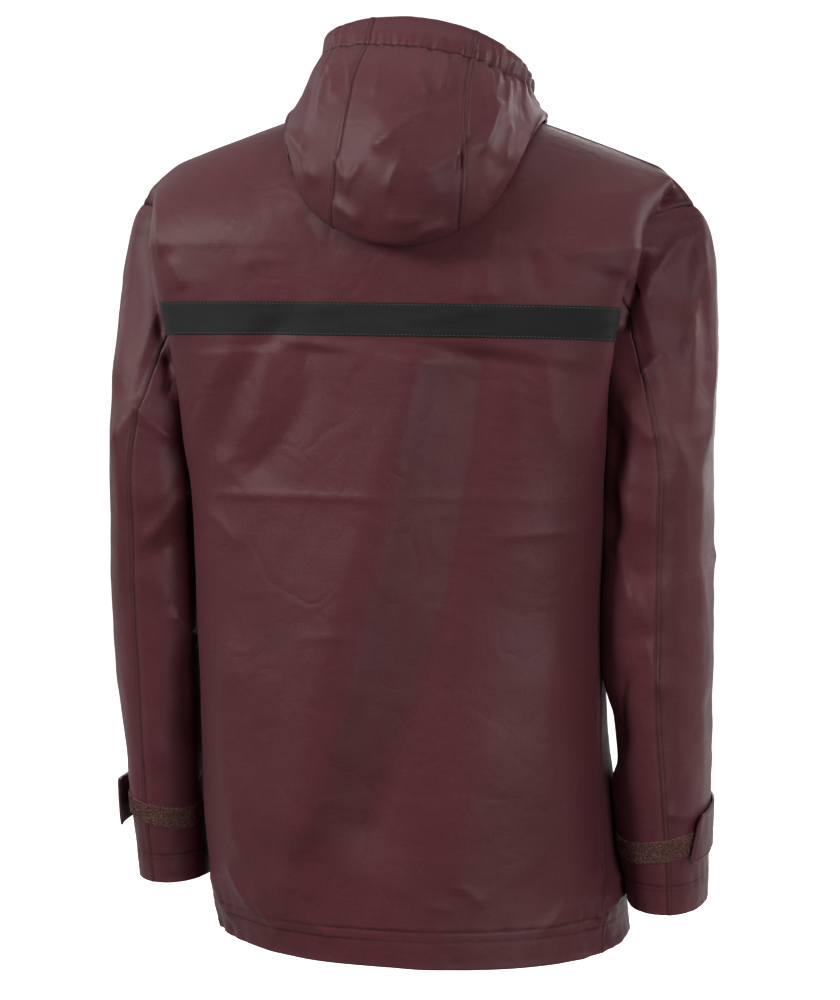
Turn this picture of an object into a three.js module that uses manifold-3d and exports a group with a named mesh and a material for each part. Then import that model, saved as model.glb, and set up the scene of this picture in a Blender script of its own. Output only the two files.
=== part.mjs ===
// A hooded rain jacket as it hangs when worn: one back, two fronts, two-piece sleeves and a
// three-panel hood that lies open on the shoulders. Every cloth piece is a thin closed wall.
// Millimetres, +Z up. The wearer faces -Y, so +X is the wearer's left. The origin lies on the
// shoulder line, midway between the two neck points, where the shoulders carry the jacket.
import * as THREE from "three";
import Module from "manifold-3d";

const CLOTH = 1.2; // wall of a cloth panel
const SEAM_GAP = 0.5; // between two panels along a seam
const SET_GAP = { body: 0, sleeve: 0.45, hood: 0.9 }; // more of it where a piece is set in at a sharp turn
const LAY_GAP = 0.4; // between a strip and the panel it is sewn on
const TRIM = 1.0; // wall of a sewn-on strip

const HEM_Z = -770;
const UNDERARM_Z = -262;
const YOKE_Z = -115; // above this height the body rounds over to the shoulder seam
const BAND_TOP_Z = -163; // contrast band across the back, at the centre back
const BAND_BOTTOM_Z = -193;
const BAND_DIP = 8; // the band and the rows round it are this much lower at the armholes

const NECK_HALF_WIDTH = 88;
const NECK_BACK_Y = 62;
const NECK_FRONT_Y = -95;
const NECK_POINT_Z = 8;
const NECK_FRONT_Z = -62;
const SHOULDER_TIP_X = 265;
const SHOULDER_FALL = 64; // straight fall of the shoulder seam from neck to tip
const SHOULDER_DROP = 22; // extra fall where the seam rounds over the end of the shoulder
const DOME_POWER = 1.25; // 1 is a round arch from yoke to shoulder seam, more is flatter

const PINCH_Y = 8; // where the arm presses the body in, front to back
const PINCH_SPREAD = 48;
const ZIP_HALF = 5; // half the gap between the two fronts

// The body as rings. back and front are depths from centreY, pinch is how far the arm presses
// the side in, and flare is how far the front corner stands out.
const TORSO = [
  { z: -770, halfWidth: 200, back: 145, front: 138, centreY: 0, sway: -9, square: 2.1, pinch: 0, flare: 10 },
  { z: -700, halfWidth: 198, back: 142, front: 138, centreY: 1, sway: 0, square: 2.15, pinch: 0, flare: 12 },
  { z: -620, halfWidth: 194, back: 138, front: 137, centreY: 4, sway: 4, square: 2.2, pinch: 0, flare: 9 },
  { z: -530, halfWidth: 193, back: 132, front: 136, centreY: 8, sway: 7, square: 2.25, pinch: 0, flare: 1 },
  { z: -440, halfWidth: 196, back: 121, front: 138, centreY: 14, sway: 9, square: 2.3, pinch: 2, flare: 0 },
  { z: -350, halfWidth: 200, back: 101, front: 150, centreY: 30, sway: 6, square: 2.4, pinch: 7, flare: 0 },
  { z: -262, halfWidth: 207, back: 80, front: 170, centreY: 50, sway: 4, square: 2.5, pinch: 17, flare: 0 },
  { z: -190, halfWidth: 217, back: 64, front: 180, centreY: 66, sway: 5, square: 2.6, pinch: 44, flare: 0 },
  { z: -150, halfWidth: 225, back: 58, front: 184, centreY: 72, sway: 5, square: 2.6, pinch: 56, flare: 0 },
  { z: -115, halfWidth: 232, back: 54, front: 184, centreY: 74, sway: 4, square: 2.5, pinch: 48, flare: 0 },
];
const SIDE_EDGE = [
  { z: -770, back: 70, front: 70 },
  { z: -700, back: 76, front: 76 },
  { z: -620, back: 83, front: 83 },
  { z: -530, back: 88, front: 88 },
  { z: -440, back: 91, front: 91 },
  { z: -350, back: 95, front: 95 },
  { z: -300, back: 99, front: 99 },
  { z: -262, back: 103, front: 103 },
  { z: -225, back: 102, front: 118 },
  { z: -190, back: 101, front: 124 },
  { z: -150, back: 99, front: 126 },
  { z: -115, back: 97, front: 122 },
];
const LOW_ROWS = [-770, -752, -735, -700, -660, -616, -572, -528, -484, -440, -396, -350, -304];
const ARM_ROWS = [UNDERARM_Z, -240, -216, BAND_BOTTOM_Z, BAND_TOP_Z, -146, -130, YOKE_Z];
const DOME_STEPS = 4;
const BACK_NECK_SHARE = 0.27; // share of the back's half width that ends at the neckline
const FRONT_NECK_SHARE = 0.28;
const BACK_NECK_COLUMNS = 7;
const FRONT_NECK_COLUMNS = 6;
const SHOULDER_COLUMNS = 8;

// Large folds, as soft ridges (height > 0) and troughs, seen from behind in x and z.
const BACK_FOLDS = [
  { x0: -58, z0: -165, x1: 96, z1: -772, bow: -22, height: 9, left: 70, right: 40, round: 12, fade0: 0.25, fade1: 0.12 },
  { x0: -92, z0: -150, x1: 20, z1: -770, bow: -26, height: -6, left: 34, right: 48, round: 16, fade0: 0.2, fade1: 0.2 },
  { x0: 62, z0: -150, x1: 168, z1: -352, bow: -20, height: -6, left: 30, right: 16, round: 8, fade0: 0.3, fade1: 0.3 },
  { x0: 110, z0: -165, x1: 200, z1: -345, bow: -12, height: 5, left: 26, right: 22, round: 10, fade0: 0.3, fade1: 0.35 },
  { x0: -150, z0: -260, x1: -120, z1: -740, bow: 14, height: 4, left: 50, right: 44, round: 18, fade0: 0.3, fade1: 0.3 },
];
const FRONT_FOLDS = [
  { x0: 70, z0: -150, x1: 150, z1: -520, bow: 16, height: 6, left: 40, right: 34, round: 14, fade0: 0.3, fade1: 0.3 },
  { x0: 60, z0: -420, x1: 110, z1: -765, bow: -14, height: 5, left: 40, right: 30, round: 14, fade0: 0.3, fade1: 0.1 },
];

// Sleeve rings, flattened between body and air. left and right are the centres' distances from
// the middle plane, and skew moves the back of a ring towards the body and its front away.
const SLEEVE = [
  { z: -330, left: 249, right: 238, y: -14, halfWidth: 43, halfDepth: 84, square: 2.7, skew: 4 },
  { z: -450, left: 252, right: 237, y: -18, halfWidth: 44, halfDepth: 80, square: 2.8, skew: 6 },
  { z: -540, left: 251, right: 238, y: -21, halfWidth: 43, halfDepth: 77, square: 2.7, skew: 6 },
  { z: -600, left: 250, right: 242, y: -22, halfWidth: 41, halfDepth: 74, square: 2.4, skew: 4 },
  { z: -660, left: 248, right: 245, y: -23, halfWidth: 39, halfDepth: 70, square: 2.3, skew: 2 },
  { z: -700, left: 245, right: 246, y: -24, halfWidth: 38, halfDepth: 67, square: 2.2, skew: 0 },
  { z: -733, left: 243, right: 247, y: -25, halfWidth: 37, halfDepth: 65, square: 2.2, skew: 0 },
];
const LOOP_TOP_Z = -664;
const LOOP_BOTTOM_Z = -690;
const CUFF_Z = -735;
const SLEEVE_ROWS = [-360, -395, -430, -470, -510, -550, -590, -627, LOOP_TOP_Z, LOOP_BOTTOM_Z, -712, CUFF_Z];
const LOOP_COLUMNS = [1, 15]; // the strip's first and last column round the sleeve
const TAB = { from: 236, to: 150, z: -664, height: 50, point: 0.3, thickness: 1.8, lift: 2.4, left: 9, right: 2.5 };
const CAP_STEPS = 7;
const ARM_SEGMENTS = ARM_ROWS.length - 1 + DOME_STEPS;
const SLEEVE_COLUMNS = 2 * ARM_SEGMENTS;
const BACK_SEAM_COLUMN = 6;
const FRONT_SEAM_COLUMN = 16;
const SLEEVE_FOLDS = [
  { angle0: 60, z0: -190, angle1: 150, z1: -330, bow: 8, height: 5, left: 18, right: 14, round: 6, fade0: 0.3, fade1: 0.3 },
  { angle0: 20, z0: -380, angle1: 100, z1: -430, bow: -8, height: -6, left: 20, right: 20, round: 8, fade0: 0.3, fade1: 0.3 },
  { angle0: 30, z0: -300, angle1: 110, z1: -370, bow: 8, height: 5, left: 18, right: 20, round: 8, fade0: 0.3, fade1: 0.3 },
  { angle0: 150, z0: -150, angle1: 168, z1: -640, bow: 6, height: 5, left: 22, right: 16, round: 8, fade0: 0.2, fade1: 0.2 },
];

// Hood rings from the neck seam over the bag's inner side, round its bottom and up to the edge.
const HOOD = [
  { row: 0, side: 88, backY: 62, frontY: -95, backZ: 0, sideZ: 8, frontZ: -62, shift: 0, swing: 0, tilt: 0, clear: 0 },
  { row: 2, side: 92, backY: 76, frontY: -98, backZ: 12, sideZ: 21, frontZ: -50, shift: -1, swing: 0, tilt: 0, clear: 4 },
  { row: 4, side: 101, backY: 122, frontY: -101, backZ: -36, sideZ: 14, frontZ: -42, shift: -5, swing: -4, tilt: 0, clear: 4 },
  { row: 6, side: 110, backY: 139, frontY: -103, backZ: -92, sideZ: 1, frontZ: -34, shift: -9, swing: -8, tilt: 0, clear: 4 },
  { row: 7, side: 116, backY: 148, frontY: -104, backZ: -110, sideZ: -3, frontZ: -30, shift: -11, swing: -9, tilt: 0, clear: 5 },
  { row: 8, side: 120, backY: 160, frontY: -105, backZ: -105, sideZ: 0, frontZ: -26, shift: -8, swing: -13, tilt: 1, clear: 9 },
  { row: 10, side: 119, backY: 170, frontY: -107, backZ: -60, sideZ: 8, frontZ: -18, shift: -10, swing: -18, tilt: 4, clear: 12 },
  { row: 12, side: 111, backY: 162, frontY: -108, backZ: -10, sideZ: 19, frontZ: -8, shift: -13, swing: -18, tilt: 8, clear: 14 },
  { row: 14, side: 103, backY: 134, frontY: -108, backZ: 37, sideZ: 32, frontZ: 2, shift: -16, swing: -15, tilt: 12, clear: 14 },
  { row: 15.5, side: 98, backY: 104, frontY: -107, backZ: 64, sideZ: 43, frontZ: 9, shift: -18, swing: -14, tilt: 13, clear: 14 },
  { row: 17, side: 96, backY: 82, frontY: -106, backZ: 89, sideZ: 53, frontZ: 17, shift: -19, swing: -13, tilt: 13, clear: 14 },
];
const HOOD_ROWS = [0, 1, 2, 3.2, 4.6, 6, 7, 8, 9.3, 10.8, 12.3, 13.6, 14.7, 15.5, 16.2, 17];
const HOOD_COLUMNS = 64;
const HOOD_SEAM_COLUMNS = 5; // columns from the centre back to each hood seam
const HOOD_CENTRE_Y = 12;
const CASING_ROW = 15.5; // the row of stitches that gathers the hood's edge
const GATHER = { waves: 34, height: 1.5, spread: 1.3 };
const HOOD_FOLD_SCALE = 7; // degrees round the hood that count as one of its rows
const HOOD_FOLDS = [
  { angle0: -30, low: 63, angle1: 22, high: 93.8, bow: 2, height: 3, left: 6, right: 9, round: 3, fade0: 0.3, fade1: 0.3 },
  { angle0: -24, low: 53.2, angle1: -64, high: 77, bow: -3, height: 4, left: 7, right: 8, round: 3, fade0: 0.3, fade1: 0.3 },
  { angle0: 44, low: 63, angle1: 66, high: 101.5, bow: 4, height: -5, left: 9, right: 9, round: 3, fade0: 0.3, fade1: 0.3 },
  { angle0: -66, low: 63, angle1: -74, high: 101.5, bow: 3, height: -4, left: 8, right: 7, round: 3, fade0: 0.3, fade1: 0.3 },
];

// The zip down the front: two tapes behind the cloth, the closed teeth, and a slider with its pull.
const TEETH = { half: 3, out: 0.8, depth: 2 };
const TAPE = { thickness: 0.8, from: 0.3, behind: 0.7 };
const SLIDER = { width: 9, height: 15, depth: 3, z: -1, gap: 0.5 };
const ARCH = { width: 2.4, half: 5, inside: 3.4, rise: 4.6, room: 2.9 };
const PULL = { bar: 0.9, barAt: 1.45, width: 6.8, tip: 8, length: 26, widest: 9, corner: 2.4, window: 1.9, windowEnd: 6.6 };

const COLOURS = { shell: 0x4f2c31, band: 0x222322, loop: 0x4b3532, zip: 0x33191d, metal: 0x6d6462 };

const V = (x, y, z) => new THREE.Vector3(x, y, z);
const rad = THREE.MathUtils.degToRad;
const lerp = THREE.MathUtils.lerp;
const clamp01 = (t) => Math.min(1, Math.max(0, t));
const steps = (count) => Array.from({ length: count + 1 }, (_, i) => i / count);

// Every column of a table at one place, read off smooth curves through its rows.
function readRow(table, key, at) {
  const up = table[1][key] > table[0][key] ? 1 : -1;
  const last = table.length - 1;
  let i = 0;
  while (i < last - 1 && up * (at - table[i + 1][key]) > 0) i += 1;
  const [a, b] = [table[i], table[i + 1]];
  const span = b[key] - a[key];
  const t = clamp01((at - a[key]) / span);
  const slope = (name, k) => {
    const [p, q] = [table[Math.max(0, k - 1)], table[Math.min(last, k + 1)]];
    return ((q[name] - p[name]) / (q[key] - p[key])) * span;
  };
  const read = (name) =>
    (2 * t ** 3 - 3 * t * t + 1) * a[name] +
    (t ** 3 - 2 * t * t + t) * slope(name, i) +
    (3 * t * t - 2 * t ** 3) * b[name] +
    (t ** 3 - t * t) * slope(name, i + 1);
  return Object.fromEntries(Object.keys(a).map((name) => [name, name === key ? at : read(name)]));
}

// Height of all folds at a place of a panel, in the panel's own two measures.
function foldHeight(folds, p, q, names) {
  let sum = 0;
  for (const f of folds) {
    const [ax, ay, bx, by] = names.map((name) => f[name]);
    const [dx, dy] = [bx - ax, by - ay];
    const length = Math.hypot(dx, dy);
    const along = ((p - ax) * dx + (q - ay) * dy) / length ** 2;
    const u = clamp01(along);
    const off = ((p - ax) * dy - (q - ay) * dx) / length - f.bow * 4 * u * (1 - u);
    const width = off < 0 ? f.left : f.right;
    const crest = Math.exp((f.round - Math.hypot(off, f.round)) / width);
    const fade = THREE.MathUtils.smoothstep(along, 0, f.fade0) * (1 - THREE.MathUtils.smoothstep(along, 1 - f.fade1, 1));
    sum += f.height * crest * fade;
  }
  return sum;
}

// The surface moved out by height(point, s, t). facing is 1 where s runs to the right as seen
// from outside with t up, and -1 where it runs to the left.
function displaced(surface, facing, height) {
  const e = 0.004;
  return (s, t) => {
    const p = surface(s, t);
    const side = surface(s + e, t).sub(surface(s - e, t));
    const up = surface(s, t + e).sub(surface(s, t - e));
    return p.addScaledVector(side.cross(up).normalize(), facing * height(p, s, t));
  };
}

// A grid of points over a surface, rows by columns.
const gridOf = (surface, sList, tList) => tList.map((t) => sList.map((s) => surface(s, t)));

// Unit normals of a grid, from its neighbours.
function gridNormals(grid) {
  const last = [grid.length - 1, grid[0].length - 1];
  return grid.map((row, i) =>
    row.map((_, j) => {
      const up = grid[Math.min(last[0], i + 1)][j].clone().sub(grid[Math.max(0, i - 1)][j]);
      const side = row[Math.min(last[1], j + 1)].clone().sub(row[Math.max(0, j - 1)]);
      return side.cross(up).normalize();
    }),
  );
}

// Draws the border of a grid in, so that two panels that share a seam stand a little apart.
function drawnIn(grid, by, byFirst = by) {
  const pull = (from, to, by) => from.clone().lerp(to, by / Math.max(by * 2, from.distanceTo(to)));
  const rows = grid.map((row) => {
    const made = row.map((p) => p.clone());
    made[0] = pull(row[0], row[1], by);
    made[row.length - 1] = pull(row.at(-1), row.at(-2), by);
    return made;
  });
  const first = rows[0].map((p, j) => pull(p, rows[1][j], byFirst));
  const final = rows.at(-1).map((p, j) => pull(p, rows.at(-2)[j], by));
  return [first, ...rows.slice(1, -1), final];
}

// A closed wall: the grid moved out by lift, and the same again moved in by the thickness.
function wallGeometry(grid, normals, lift, thickness) {
  const [rows, columns] = [grid.length, grid[0].length];
  const points = [];
  for (const depth of [lift, lift - thickness]) {
    grid.forEach((row, i) => row.forEach((p, j) => points.push(p.clone().addScaledVector(normals[i][j], depth))));
  }
  const at = (i, j, inner) => inner * rows * columns + i * columns + j;
  const faces = [];
  const quad = (a, b, c, d) => faces.push(a, b, c, a, c, d);
  for (let i = 0; i < rows - 1; i += 1) {
    for (let j = 0; j < columns - 1; j += 1) {
      quad(at(i, j, 0), at(i, j + 1, 0), at(i + 1, j + 1, 0), at(i + 1, j, 0));
      quad(at(i, j, 1), at(i + 1, j, 1), at(i + 1, j + 1, 1), at(i, j + 1, 1));
    }
  }
  const rim = [];
  for (let j = 0; j < columns - 1; j += 1) rim.push([0, j]);
  for (let i = 0; i < rows - 1; i += 1) rim.push([i, columns - 1]);
  for (let j = columns - 1; j > 0; j -= 1) rim.push([rows - 1, j]);
  for (let i = rows - 1; i > 0; i -= 1) rim.push([i, 0]);
  rim.forEach(([i, j], k) => {
    const [m, n] = rim[(k + 1) % rim.length];
    quad(at(m, n, 0), at(i, j, 0), at(i, j, 1), at(m, n, 1));
  });
  const geometry = new THREE.BufferGeometry();
  geometry.setAttribute("position", new THREE.Float32BufferAttribute(points.flatMap((p) => p.toArray()), 3));
  geometry.setIndex(faces);
  geometry.computeVertexNormals();
  return geometry;
}

// A point on the body at an angle from the centre back, positive to the wearer's left.
function torsoPoint(angle, z) {
  const row = readRow(TORSO, "z", z);
  const power = 2 / row.square;
  const a = rad(Math.abs(angle));
  const depth = Math.cos(a) >= 0 ? row.back : -row.front;
  const y = row.centreY + depth * Math.abs(Math.cos(a)) ** power;
  const press = row.pinch * Math.exp(-(((y - PINCH_Y) / PINCH_SPREAD) ** 2));
  const flare = row.flare * Math.max(0, -Math.sin(2 * a));
  const x = Math.max(0, row.halfWidth * Math.abs(Math.sin(a)) ** power - press + flare);
  return V(row.sway + Math.sign(angle) * x, y, z);
}

// The shoulder seam, from the neck point (0) to the shoulder tip (1).
function shoulderPoint(w) {
  const x = lerp(NECK_HALF_WIDTH, SHOULDER_TIP_X, w);
  return V(x, 0, NECK_POINT_Z - SHOULDER_FALL * w ** 1.1 - SHOULDER_DROP * w ** 12);
}

// The top edge of the back and of a front, as neckline and then shoulder seam.
function backTop(s) {
  const share = Math.abs(s) / BACK_NECK_SHARE;
  const p = share > 1 ? shoulderPoint((Math.abs(s) - BACK_NECK_SHARE) / (1 - BACK_NECK_SHARE)) : neckBack(rad(90 * share));
  return p.setX(Math.sign(s) * p.x);
}
const neckBack = (a) => V(NECK_HALF_WIDTH * Math.sin(a), NECK_BACK_Y * Math.cos(a), NECK_POINT_Z * (1 - Math.cos(a)));
function frontTop(s) {
  if (s > FRONT_NECK_SHARE) return shoulderPoint((s - FRONT_NECK_SHARE) / (1 - FRONT_NECK_SHARE));
  const a = rad(90 * (s / FRONT_NECK_SHARE));
  const x = lerp(ZIP_HALF, NECK_HALF_WIDTH, Math.sin(a));
  return V(x, NECK_FRONT_Y * Math.cos(a), lerp(NECK_POINT_Z, NECK_FRONT_Z, Math.cos(a) ** 1.3));
}

// Rises from the yoke line to the top edge along a rounded arch.
function dome(base, top, rise) {
  const a = rad(90 * rise);
  const inward = 1 - Math.max(0, Math.cos(a)) ** DOME_POWER;
  const up = Math.sin(a) ** DOME_POWER;
  return V(lerp(base.x, top.x, inward), lerp(base.y, top.y, inward), lerp(base.z, top.z, up));
}

// Rows of the back and the fronts: a height below the yoke, and then a rise from 0 to 1.
const BODY_ROWS = [...LOW_ROWS, ...ARM_ROWS, ...steps(DOME_STEPS).slice(1)];
const isRise = (v) => v > 0;
const bodyRowAt = (t) => {
  const i = Math.min(BODY_ROWS.length - 2, Math.max(0, Math.floor(t)));
  const [a, b] = [BODY_ROWS[i], BODY_ROWS[i + 1]];
  return isRise(b) && !isRise(a) ? b * (t - i) || a : lerp(a, b, t - i);
};
const bell = (z) => Math.max(0, Math.sin(Math.PI * clamp01((z - UNDERARM_Z) / (YOKE_Z - UNDERARM_Z))));

function backPoint(s, v) {
  const z = isRise(v) ? YOKE_Z : v;
  const dipped = z - BAND_DIP * s * s * bell(z);
  const base = torsoPoint(s * readRow(SIDE_EDGE, "z", dipped).back, dipped);
  return isRise(v) ? dome(base, backTop(s), v) : base;
}
function frontPoint(s, v) {
  const z = isRise(v) ? YOKE_Z : v;
  const edge = readRow(SIDE_EDGE, "z", z).front;
  const base = torsoPoint(180 - (180 - edge) * s, z);
  base.x += ZIP_HALF * (1 - s) ** 2;
  return isRise(v) ? dome(base, frontTop(s), v) : base;
}
// Sway moves the body's rings sideways, so a right front is not quite a mirror of the left one.
function frontPointRight(s, v) {
  const sway = readRow(TORSO, "z", isRise(v) ? YOKE_Z : v).sway;
  const p = frontPoint(s, v);
  return p.setX(isRise(v) ? -p.x : 2 * sway - p.x);
}

const seenFromBehind = ["x0", "z0", "x1", "z1"];
const edgeFade = (share) => clamp01((1 - Math.abs(share)) / 0.08);
const bodyFade = (v) => (isRise(v) ? 1 - clamp01(v * 3) : 1);
const backSurface = displaced(
  (s, t) => backPoint(s, bodyRowAt(t)),
  -1,
  (p, s, t) => foldHeight(BACK_FOLDS, p.x, p.z, seenFromBehind) * edgeFade(s) * bodyFade(bodyRowAt(t)),
);
const frontFold = (p, s, t) =>
  foldHeight(FRONT_FOLDS, Math.abs(p.x), p.z, seenFromBehind) * edgeFade(s) * clamp01(s / 0.1) * bodyFade(bodyRowAt(t));
const leftFront = displaced((s, t) => frontPoint(s, bodyRowAt(t)), 1, frontFold);
const rightFront = displaced((s, t) => frontPointRight(s, bodyRowAt(t)), -1, frontFold);

const rowNumbers = BODY_ROWS.map((_, i) => i);
const halfColumns = (neckShare, neckColumns) => [
  ...steps(neckColumns).map((u) => neckShare * u),
  ...steps(SHOULDER_COLUMNS).slice(1).map((u) => lerp(neckShare, 1, u)),
];
const backHalf = halfColumns(BACK_NECK_SHARE, BACK_NECK_COLUMNS);
const frontHalf = halfColumns(FRONT_NECK_SHARE, FRONT_NECK_COLUMNS);
const backColumns = [...backHalf.slice(1).map((s) => -s).reverse(), ...backHalf];

const backGrid = gridOf(backSurface, backColumns.map((s) => -s), rowNumbers);
const leftFrontGrid = gridOf(leftFront, frontHalf, rowNumbers);
const rightFrontGrid = gridOf(rightFront, frontHalf, rowNumbers).map((row) => [...row].reverse());

// The armhole as one loop of points: from the underarm up the back edge to the shoulder tip and
// down the front edge. side is 1 on the wearer's left and -1 on the right.
function armhole(side) {
  const firstRow = LOW_ROWS.length;
  const rows = rowNumbers.slice(firstRow);
  const backEdge = rows.map((i) => backGrid[i][side > 0 ? 0 : backGrid[i].length - 1]);
  const frontEdge = rows.map((i) => (side > 0 ? leftFrontGrid[i].at(-1) : rightFrontGrid[i][0]));
  return [...backEdge, ...frontEdge.reverse().slice(1)].map((p) => p.clone());
}

// A point on a sleeve ring. Angle 0 is at the body, 90 at the back, 180 outside.
function sleeveRing(side, angle, z) {
  const row = readRow(SLEEVE, "z", z);
  const power = (value) => Math.sign(value) * Math.abs(value) ** (2 / row.square);
  const [across, deep] = [power(Math.cos(rad(angle))), power(Math.sin(rad(angle)))];
  const x = (side > 0 ? row.left : row.right) - row.halfWidth * across - row.skew * deep;
  return V(side * x, row.y + row.halfDepth * deep, z);
}

// A sleeve as a surface: column 0 is at the underarm, and rows run from armhole to cuff.
function sleeveSurface(side) {
  const loop = armhole(side);
  const angleOf = (column) => (360 * column) / SLEEVE_COLUMNS;
  const loopAt = (column) => {
    const c = ((column % SLEEVE_COLUMNS) + SLEEVE_COLUMNS) % SLEEVE_COLUMNS;
    const i = Math.floor(c);
    return loop[i].clone().lerp(loop[(i + 1) % SLEEVE_COLUMNS], c - i);
  };
  const heights = [SLEEVE[0].z, ...SLEEVE_ROWS];
  const cap = (column, t) => {
    const start = loopAt(column);
    const end = sleeveRing(side, angleOf(column), SLEEVE[0].z);
    const outer = 0.5 - 0.5 * Math.cos(rad(angleOf(column)));
    const reach = start.distanceTo(end);
    const leave = V(side * lerp(42, side > 0 ? 92 : 108, outer), 0, -lerp(0.35 * reach, 66, outer));
    const arrive = V(0, 0, -lerp(0.8, 0.9, outer) * reach);
    const [h0, h1, h2, h3] = [2 * t ** 3 - 3 * t * t + 1, t ** 3 - 2 * t * t + t, 3 * t * t - 2 * t ** 3, t ** 3 - t * t];
    return start.multiplyScalar(h0).addScaledVector(leave, h1).addScaledVector(end, h2).addScaledVector(arrive, h3);
  };
  const plain = (column, t) => {
    if (t < CAP_STEPS) return cap(column, t / CAP_STEPS);
    const i = Math.min(heights.length - 2, Math.floor(t - CAP_STEPS));
    return sleeveRing(side, angleOf(column), lerp(heights[i], heights[i + 1], t - CAP_STEPS - i));
  };
  const names = ["angle0", "z0", "angle1", "z1"];
  const fold = (p, column, t) => {
    const ends = clamp01(t / 2) * clamp01((-640 - p.z) / -30);
    return foldHeight(SLEEVE_FOLDS, angleOf(column), p.z, names) * ends;
  };
  return displaced(plain, side, fold);
}
const sleeveRows = steps(CAP_STEPS + SLEEVE_ROWS.length).map((_, i) => i);

// Columns run the other way on the wearer's left, so that both sleeves face out.
function sleeveGrid(side, from, to) {
  const columns = Array.from({ length: to - from + 1 }, (_, i) => from + i);
  const grid = gridOf(sleeveSurface(side), columns, sleeveRows);
  return side > 0 ? grid : grid.map((row) => [...row].reverse());
}

// The neckline as a loop of points from the right front edge round the back to the left one.
function neckline() {
  const top = BODY_ROWS.length - 1;
  const right = [...rightFrontGrid[top]].reverse().slice(0, FRONT_NECK_COLUMNS + 1);
  const left = leftFrontGrid[top].slice(0, FRONT_NECK_COLUMNS + 1).reverse();
  const back = [...backGrid[top]].reverse().slice(SHOULDER_COLUMNS, -SHOULDER_COLUMNS);
  return [...right, ...back.slice(1, -1), ...left].map((p) => p.clone());
}
const neckLoop = neckline();

// Height of the shoulders above a place, or far below where there are none.
const shoulderFaces = [backGrid, leftFrontGrid, rightFrontGrid].flatMap((grid) =>
  grid.slice(ARM_ROWS.length + LOW_ROWS.length - 3, -1).flatMap((row, k) => {
    const above = grid[ARM_ROWS.length + LOW_ROWS.length - 2 + k];
    return row.slice(1).flatMap((p, j) => [
      [row[j], p, above[j + 1]],
      [row[j], above[j + 1], above[j]],
    ]);
  }),
);
function shoulderTop(x, y) {
  let top = -1e6;
  for (const [a, b, c] of shoulderFaces) {
    const area = (b.x - a.x) * (c.y - a.y) - (c.x - a.x) * (b.y - a.y);
    const v = ((x - a.x) * (c.y - a.y) - (c.x - a.x) * (y - a.y)) / area;
    const w = ((b.x - a.x) * (y - a.y) - (x - a.x) * (b.y - a.y)) / area;
    if (v >= -0.01 && w >= -0.01 && v + w <= 1.01) top = Math.max(top, a.z + v * (b.z - a.z) + w * (c.z - a.z));
  }
  return top;
}

// A point on the hood. Angle 0 is at the centre back and 180 at the front edges.
function hoodRing(angle, at) {
  const row = readRow(HOOD, "row", at);
  const a = rad(angle);
  const [back, front] = [Math.max(0, Math.cos(a)), Math.max(0, -Math.cos(a))];
  const y = HOOD_CENTRE_Y + (row.backY - HOOD_CENTRE_Y) * back ** 0.85 + (row.frontY - HOOD_CENTRE_Y) * front ** 0.9;
  const z = row.sideZ + (row.backZ - row.sideZ) * back + (row.frontZ - row.sideZ) * front + row.tilt * Math.sin(a);
  const opening = ZIP_HALF * Math.sign(angle) * front ** 4;
  return V(row.shift * (1 - front ** 2) + row.swing * back ** 2 + row.side * Math.sin(a) + opening, y, z);
}
function hoodPoint(column, row) {
  const angle = (360 * column) / HOOD_COLUMNS - 180;
  const ring = hoodRing(angle === 0 ? 1e-6 : angle, row);
  ring.z = Math.max(ring.z, shoulderTop(ring.x, ring.y) + readRow(HOOD, "row", row).clear);
  if (row >= 2) return ring;
  const place = (column / HOOD_COLUMNS) * (neckLoop.length - 1);
  const i = Math.min(neckLoop.length - 2, Math.max(0, Math.floor(place)));
  const seam = neckLoop[i].clone().lerp(neckLoop[i + 1], place - i);
  return seam.lerp(ring, THREE.MathUtils.clamp(row / 2, -0.01, 1));
}
function hoodFold(p, column, row) {
  const angle = (360 * column) / HOOD_COLUMNS - 180;
  const gather = GATHER.height * Math.sin((GATHER.waves * column * 2 * Math.PI) / HOOD_COLUMNS / 2);
  const puckers = gather * Math.exp(-(((row - CASING_ROW) / GATHER.spread) ** 2));
  const folds = foldHeight(HOOD_FOLDS, angle, row * HOOD_FOLD_SCALE, ["angle0", "low", "angle1", "high"]);
  return puckers + folds;
}
const hoodSurface = displaced(hoodPoint, -1, hoodFold);
const hoodRows = HOOD_ROWS.map((_, i) => i);
function hoodGrid(from, to) {
  const columns = Array.from({ length: to - from + 1 }, (_, i) => from + i);
  const grid = gridOf(hoodSurface, columns, HOOD_ROWS);
  grid[0] = columns.map((column) => hoodPoint(column, 0));
  return grid.map((row) => row.reverse());
}

const half = HOOD_COLUMNS / 2;
const panels = {
  back: { grid: backGrid },
  front_left: { grid: leftFrontGrid },
  front_right: { grid: rightFrontGrid },
  sleeve_upper_left: { grid: sleeveGrid(1, BACK_SEAM_COLUMN, FRONT_SEAM_COLUMN) },
  sleeve_under_left: { grid: sleeveGrid(1, FRONT_SEAM_COLUMN, SLEEVE_COLUMNS + BACK_SEAM_COLUMN) },
  sleeve_upper_right: { grid: sleeveGrid(-1, BACK_SEAM_COLUMN, FRONT_SEAM_COLUMN) },
  sleeve_under_right: { grid: sleeveGrid(-1, FRONT_SEAM_COLUMN, SLEEVE_COLUMNS + BACK_SEAM_COLUMN) },
  hood_centre: { grid: hoodGrid(half - HOOD_SEAM_COLUMNS, half + HOOD_SEAM_COLUMNS) },
  hood_left: { grid: hoodGrid(half + HOOD_SEAM_COLUMNS, HOOD_COLUMNS) },
  hood_right: { grid: hoodGrid(0, half - HOOD_SEAM_COLUMNS) },
};

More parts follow.
